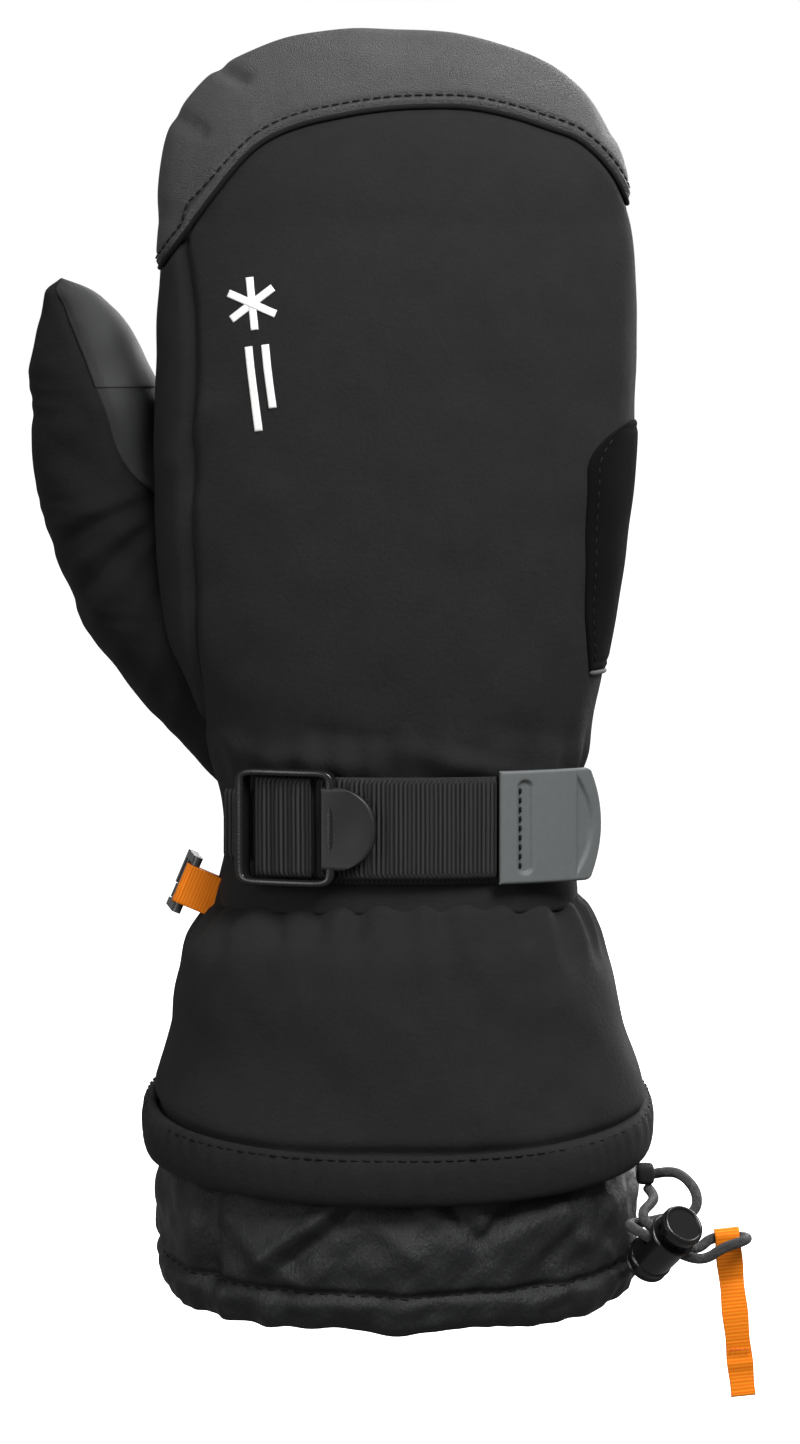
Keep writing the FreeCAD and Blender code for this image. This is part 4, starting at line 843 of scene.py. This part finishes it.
turn, level = np.meshgrid(np.linspace(0, 2 * math.pi, 420, endpoint=False),
                          np.concatenate([np.linspace(49, 30, 14), np.linspace(29, 0, 52)]))
flat = cuff_at(turn, level)
channel = 0.9 * np.exp(-(((level - 4.2) / 3.6) ** 4)) + seam_dip(level - 9.4, 1.1, 1.1)
out = (cuff_relief(flat, turn, level) + channel) * np.clip((47 - level) / 12, 0, 1)
wavy = 0.6 * np.sin(7 * turn + 1.7 * np.sin(4 * turn)) + 0.22 * np.sin(23 * turn + 2 * np.sin(3 * turn))
points = cuff_at(turn, level, out)
points[..., 2] += wavy * np.exp(-((level / 9) ** 2)) - 0.6
snow_cuff = surface("snow_cuff", points, ring=True, wall=0.7, material=cuff_nylon)
belongs(snow_cuff, "mitten", "cuff_nylon", "snow_cuff", "snow_cuff_hem", "cuff_elastic")
cuff_stitch_line = points[np.argmin(np.abs(level[:, 0] - 9.2))]
cuff_stitches = stitches("cuff_stitches", np.vstack([cuff_stitch_line, cuff_stitch_line[:1]]), 3.4, 2.2, 0.5,
                         thread)
belongs(cuff_stitches, "mitten", "thread")

# The wrist strap is 25 mm ribbed webbing, bent round the back of the wrist. The lower layer is sewn on at
# the right, the tail lies on it and runs into the buckle, where it turns back round the middle bar.
strap_centre_y, strap_radius, strap_z = 37.0, 67.6, 113.6


def strap_at(x, out, height):
    """A point of the strap: x along its bend, out millimetres off the wrist, at a height."""
    turn = np.arcsin(np.clip(x / strap_radius, -1, 1))
    radius = strap_radius + out
    return np.stack(np.broadcast_arrays(radius * np.sin(turn), strap_centre_y - radius * np.cos(turn),
                                        height), -1)


def webbing_material(name, colour, light, pitch=1.05):
    """Ribbed webbing: a rib every pitch across, with fine threads along it, and a painted highlight that makes each
    rib's crown lighter.
    """
    made = finish_of(name, colour, 0.6, Specular_IOR_Level=0.18)
    threads = pattern(made, "ShaderNodeTexNoise", "UV", 2400, (0.25, 1, 1), Detail=2.0)
    relief(made, threads.outputs["Fac"], 0.12)
    # Painted highlight: bands one rib apart run from the colour to the lighter one, as if the rib crowns caught the
    # light.
    crown_highlight = pattern(made, "ShaderNodeTexWave", "UV", 1000 / pitch * math.pi / 10, bands_direction="X",
                   Scale=1.0,
                   Distortion=0.4, Detail=2.0)
    blotch(made, colour, light, crown_highlight.outputs["Fac"])
    return made


def strap_piece(name, left, right, out, width, height, material, pitch=1.3, crown=0.22, wall=1.4):
    """A length of webbing on the strap's bend: ribs are a cosine along it, and its edges are rolled."""
    columns = int((right - left) / pitch * 6)
    x, up = np.meshgrid(np.linspace(left, right, columns), np.linspace(-width / 2, width / 2, 34))
    edge = width / 2 - np.abs(up)
    rib = crown * np.cos(2 * math.pi * x / pitch) * (1 - np.exp(-((edge / 0.5) ** 2)))
    roll = -0.45 * np.exp(-((edge / 0.7) ** 2))
    return surface(name, strap_at(x, out + rib + roll + ripple(x, 0, up, 21, 0.1, 51), height + up),
                   wall=wall,
                   material=material)


# The lighter colour of the black webbing is its painted highlight on the rib crowns.
black_webbing = webbing_material("black_webbing", (0.0030, 0.0030, 0.0031), (0.036, 0.036, 0.036), 1.3)
strap_under = strap_piece("strap_under", -23, 45, 1.7, 25.4, strap_z - 1.3, black_webbing, wall=1.2)
belongs(strap_under, "mitten", "webbing", "strap_under")
strap_tail = strap_piece("strap_tail", -24.5, 22.6, 3.7, 25.2, strap_z, black_webbing)
belongs(strap_tail, "strap", "webbing", "strap_tail")
strap_wrap = strap_piece("strap_wrap", -33.2, -20.2, 5.5, 24.6, strap_z, black_webbing, crown=0.2, wall=1.2)
belongs(strap_wrap, "buckle", "webbing", "strap_wrap")
side_tab = strap_piece("strap_side_tab", -42.6, -33.2, 1.8, 17.2, strap_z, black_webbing, crown=0.1, wall=1.2)
belongs(side_tab, "mitten", "webbing", "strap_side_tab")


# The ladder-lock buckle is one glossy black moulding: a rounded frame with the side tab round its left
# bar, and a thick round lift tab on the right that lets the webbing slip when it is raised.
def rounded_rim(inside, radius):
    """How far a surface drops near its rim: a quarter circle over the last radius of it."""
    short = np.clip(radius - inside, 0, radius)
    return np.sqrt(radius**2 - short**2) - radius


def moulded_bar(name, path, outward, half_wide, half_thick, material):
    """A closed bar along a loop: a squarish oval section (fourth power), one side facing outwards."""
    ahead = np.roll(path, -1, 0) - np.roll(path, 1, 0)
    ahead /= np.linalg.norm(ahead, axis=1, keepdims=True)
    side = np.cross(ahead, outward)
    side /= np.linalg.norm(side, axis=1, keepdims=True)
    roll = np.linspace(0, 2 * math.pi, 20, endpoint=False)
    cos, sin = np.cos(roll), np.sin(roll)
    wide = (np.sign(cos) * np.abs(cos) ** 0.45)[None, :, None] * np.asarray(half_wide).reshape(-1, 1, 1)
    thick = (np.sign(sin) * np.abs(sin) ** 0.45)[None, :, None] * half_thick
    return surface(name, path[:, None] + wide * side[:, None] + thick * outward[:, None], ring=True,
                   tube=True,
                   material=material)


def gloss_plastic(name, colour, roughness=0.22):
    """Injection-moulded plastic: glossy, with a faint orange-peel and scuffs that dull it."""
    made = finish_of(name, colour, roughness, Specular_IOR_Level=0.5)
    peel = pattern(made, "ShaderNodeTexNoise", "Object", 500, Detail=2.0)
    relief(made, peel.outputs["Fac"], 0.03)
    scuff = pattern(made, "ShaderNodeTexNoise", "Object", 260, Detail=6.0, Roughness=0.75)
    blotch(made, [roughness * 0.7] * 3, [roughness * 1.6] * 3, scuff.outputs["Fac"], "Roughness")
    return made


black_plastic = gloss_plastic("buckle_plastic", (0.0085, 0.0085, 0.009))
frame_left, frame_right, frame_half, frame_out = -36.2, -15.6, 13.6, 4.9
loop = np.linspace(0, 2 * math.pi, 240, endpoint=False)
cos, sin = np.cos(loop), np.sin(loop)
half_long = (frame_right - frame_left) / 2
loop_x = (frame_left + frame_right) / 2 + half_long * np.sign(cos) * np.abs(cos) ** 0.22
loop_z = frame_half * np.sign(sin) * np.abs(sin) ** 0.16
lie = np.arcsin(loop_x / strap_radius)
outward = np.stack([np.sin(lie), -np.cos(lie), 0 * lie], -1)
buckle_frame = moulded_bar("buckle_frame", strap_at(loop_x, frame_out, strap_z + loop_z), outward,
                           0.85 + 0.35 * np.abs(cos) ** 3, 2.2, black_plastic)
up, share = np.meshgrid(np.linspace(-1, 1, 60), np.linspace(0, 1, 60))
lift_half = 10.4
lift_x = -17.6 + share * (2.4 + 9.9 * np.sqrt(np.clip(1 - np.abs(up) ** 2.3, 0, 1)))
inside = np.minimum(np.minimum((1 - share) * 11, (1 - np.abs(up)) * lift_half), share * 11 + 0.5)
dished = -0.35 * np.exp(-(((lift_x + 12) / 4) ** 2) - ((up / 0.6) ** 2))
lift_tab = surface("buckle_lift_tab", strap_at(lift_x, 7.1 + 0.35 * share + rounded_rim(inside, 1.1) + dished,
                                               strap_z + up * lift_half), wall=2.2,
                   material=gloss_plastic("lift_tab_plastic", (0.009, 0.009, 0.0092), 0.4))
middle_bar = surface("buckle_middle_bar", tube_along(strap_at(np.full(40, -26.8), 3.3, strap_z + np.linspace(
    -13.2, 13.2, 40)), 0.9, 12), ring=True, merge=True, material=black_plastic)
for piece in (buckle_frame, lift_tab, middle_bar):
    belongs(piece, "buckle", "black_plastic")
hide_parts("buckle")

# The strap's end is a thick grey rubber moulding over the webbing: a bulged outer edge, a rounded slot
# with the sewing in it, and a crescent dent to grip.
end_left, end_right, end_half, end_out, bulge = 22.8, 46.6, 14.0, 5.3, 2.7
share, up = np.meshgrid(np.linspace(0, 1, 150), np.linspace(-1, 1, 150))
end_edge = end_right - bulge * up**2 - 0.9 * np.clip((np.abs(up) - 0.93) / 0.07, 0, 1) ** 2
end_x = end_left + (end_edge - end_left) * share
inside = np.minimum(np.minimum(share, 1 - share) * (end_right - end_left), (1 - np.abs(up)) * end_half)


def dent(away, depth, soft=0.35):
    """A flat-floored recess with soft sides: away is the distance inside its outline."""
    return -depth / (1 + np.exp(-away / soft * 2.2))


slot_away = 1.5 - np.hypot(end_x - 28.6, np.clip(np.abs(up) * end_half - 9.9, 0, None))
crescent_away = np.minimum(end_x - 40.8, 40.8 + 3.4 * (1 - (up * end_half / 11.6) ** 2) - end_x)
end_rise = rounded_rim(inside, 0.8) + dent(slot_away, 0.9) + dent(crescent_away, 0.8)
grey_rubber = finish_of("grey_rubber", (0.110, 0.118, 0.118), 0.5, Specular_IOR_Level=0.35)
speck = pattern(grey_rubber, "ShaderNodeTexNoise", "Object", 1500, Detail=3.0)
relief(grey_rubber, speck.outputs["Fac"], 0.06)
scuffs = pattern(grey_rubber, "ShaderNodeTexNoise", "Object", 120, Detail=6.0, Roughness=0.7)
blotch(grey_rubber, (0.095, 0.102, 0.102), (0.130, 0.138, 0.138), scuffs.outputs["Fac"])
end_tab = surface("strap_end_tab", strap_at(end_x, end_out + end_rise, strap_z + up * end_half), wall=2.8,
                  material=grey_rubber)
belongs(end_tab, "strap_end", "grey_rubber", "strap_end_tab")
sewing = strap_at(np.full(60, 27.6), end_out - 0.55, strap_z + np.linspace(-10.6, 10.6, 60))
end_stitches = stitches("strap_end_stitches", sewing, 2.3, 1.5, 0.75, thread)
belongs(end_stitches, "strap_end", "thread", "strap_end_stitches")


# A loop of 10 mm orange webbing comes out of the wrist seam and holds the clip that joins a pair.
def clip_frame(along, aside, up):
    """A point in the clip's leaning frame: along it away from the fold, aside from its plane, and up."""
    lean = math.radians(23)
    side, rise = np.array([math.cos(lean), 0, -math.sin(lean)]), np.array([math.sin(lean), 0, math.cos(lean)])
    middle = np.array([-53.2, -3.0, 97.0])
    return (middle + np.asarray(along)[..., None] * side + np.asarray(up)[..., None] * rise
            + np.asarray(aside)[..., None] * np.array([0.0, 1.0, 0.0]))


# The lighter orange is the painted highlight on the rib crowns.
orange = webbing_material("orange_webbing", (0.92, 0.175, 0.004), (1.0, 0.31, 0.012), 0.9)
leg, radius, half_wide = 13.0, 2.05, 5.0
around = np.linspace(0, 1, 90)
turned = np.clip((around - 0.36) / 0.28, 0, 1) * math.pi
along = np.where(around < 0.36, leg * (1 - around / 0.36), np.where(
    around > 0.64, leg * (around - 0.64) / 0.36, -radius * np.sin(turned)))
aside = -radius * np.cos(turned)
along, up = np.meshgrid(along, np.linspace(-half_wide, half_wide, 24))
aside = np.broadcast_to(aside, along.shape) + 0.12 * np.cos(2 * math.pi * along / 0.9) + 0.25 * np.sin(
    up * 0.5 + along * 0.4)
wrist_loop = surface("wrist_loop", clip_frame(along, aside, up), wall=0.8, material=orange)
belongs(wrist_loop, "mitten", "orange_webbing", "wrist_loop")
clip_plastic = gloss_plastic("clip_plastic", (0.045, 0.046, 0.050), 0.25)
for node in ("glove_clip", "glove_clip_gate"):
    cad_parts[node].material_slots[0].material = clip_plastic


# The cord lock: a barrel turned down in steps, with a sprung button. Pressing the button lines its hole up
# with the barrel's and frees the cord. Both are glossy black plastic, kept as they are, with grip rings.
lock_plastic = gloss_plastic("lock_plastic", (0.0080, 0.0080, 0.0085), 0.16)
for node in ("cord_lock_barrel", "cord_lock_plunger"):
    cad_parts[node].material_slots[0].material = lock_plastic
steel = finish_of("spring_steel", (0.55, 0.55, 0.56), 0.3, Metallic=1.0)
drawn = pattern(steel, "ShaderNodeTexNoise", "Object", 2500, Detail=2.0)
relief(steel, drawn.outputs["Fac"], 0.02)
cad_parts["cord_lock_spring"].material_slots[0].material = steel
lock_foot = np.array([60.0, -25.0, 4.5])
lock_along = np.array([0.464, -0.664, 0.587])
lock_along /= np.linalg.norm(lock_along)
lock_across = np.array([0.854, 0.156, -0.498])
lock_across -= lock_along * (lock_across @ lock_along)
lock_across /= np.linalg.norm(lock_across)
lock_depth = np.cross(lock_along, lock_across)


def turned_ring(name, heights, radii, material):
    """A closed ring turned about the lock's axis from a profile of heights and radii."""
    turn = np.linspace(0, 2 * math.pi, 64, endpoint=False)[None, :, None]
    centre = lock_foot + np.asarray(heights, float)[:, None, None] * lock_along
    points = centre + np.asarray(radii, float)[:, None, None] * (np.cos(turn) * lock_across + np.sin(turn) * lock_depth)
    return surface(name, points, ring=True, tube=True, material=material)


roll = np.linspace(0, 2 * math.pi, 16, endpoint=False)
for number, height in enumerate((1.9, 4.3, 15.1)):
    ring = turned_ring(f"lock_ring_{number}", height + 0.5 * np.sin(roll), 5.35 + 0.55 * np.cos(roll),
                       lock_plastic)
    belongs(ring, "cord_lock", "black_plastic")
rim_height = 18.8 + 1.9
button_rim = turned_ring("lock_button_rim", rim_height + 0.45 * np.sin(roll), 4.75 + 0.5 * np.cos(roll),
                         lock_plastic)
belongs(button_rim, "lock_button", "black_plastic")

# The tunnel that the drawcord comes out of is a scrap of the cuff's nylon, folded and sewn under the hem.
u, v = np.meshgrid(np.linspace(0, 2 * math.pi, 40, endpoint=False), np.linspace(0.02, math.pi - 0.02, 24))
box_low, box_high = (np.array(corner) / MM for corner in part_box("drawcord_tunnel"))
middle, half = (box_low + box_high) / 2, (box_high - box_low) / 2


def soft_box(u, v, middle, half, power=0.5):
    """A rounded block: each axis of a sphere's point raised to a power below one, signs kept."""
    ball = np.stack([np.cos(u) * np.sin(v), np.sin(u) * np.sin(v), np.cos(v)], -1)
    return middle + half * np.sign(ball) * np.abs(ball) ** power


tunnel = surface("drawcord_tunnel", soft_box(u, v, middle, half * 0.98), ring=True, merge=True,
                 material=hem_nylon)
belongs(tunnel, "mitten", "cuff_nylon", "drawcord_tunnel")

# The pull is a 6 mm orange ribbon folded over the back strand of the loop, its two legs sewn together.
tab_top, tab_long, tab_half, tab_lean = np.array([80.8, -28.1, 12.1]), 40.0, 3.15, math.radians(6)
neck, spread = 8.0, 2.2
share = np.linspace(0, 1, 181)
turned = np.clip((share - 0.42) / 0.16, 0, 1) * math.pi
down = np.where(share < 0.42, tab_long * (1 - share / 0.42), np.where(
    share > 0.58, tab_long * (share - 0.58) / 0.42, 0.0))
open_at = 0.45 + (spread - 0.45) * np.exp(-((down / neck) ** 2) * 1.6)
aside = np.where(turned <= 0, -open_at, np.where(turned >= math.pi, open_at, -spread * np.cos(turned)))
high = np.where((turned > 0) & (turned < math.pi), spread * np.sin(turned), -down)
bent = 0.5 * np.sin(down * 0.23) + 0.35 * np.exp(-(((down - 11) / 1.2) ** 2)) - 0.4 * np.exp(
    -(((down - 32) / 1.3) ** 2))
wide, aside = np.meshgrid(np.linspace(-tab_half, tab_half, 16), aside, indexing="ij")
high, bent = np.broadcast_to(high, wide.shape), np.broadcast_to(bent * (down > 3), wide.shape)
y = aside + bent + 0.05 * np.cos(2 * math.pi * high / 0.8)
x = wide * (1 - 0.04 * np.cos(high * 0.5))
points = np.stack([
    tab_top[0] + x * math.cos(tab_lean) - high * math.sin(tab_lean), tab_top[1] + y,
    tab_top[2] + x * math.sin(tab_lean) + high * math.cos(tab_lean)], -1)
pull = surface("pull_tab", points, wall=0.4, material=orange)
belongs(pull, "pull_tab", "orange_webbing", "pull_tab")
sewn = [tab_top + np.array([w + 28 * math.sin(tab_lean), -1.05, -28.0]) for w in np.linspace(-2.4, 2.4, 12)]
tab_stitches = stitches("pull_tab_stitches", np.array(sewn), 1.3, 0.95, 0.45,
                        finish_of("orange_thread", (0.75, 0.12, 0.01), 0.5, Sheen_Weight=0.2))
belongs(tab_stitches, "pull_tab", "orange_webbing")
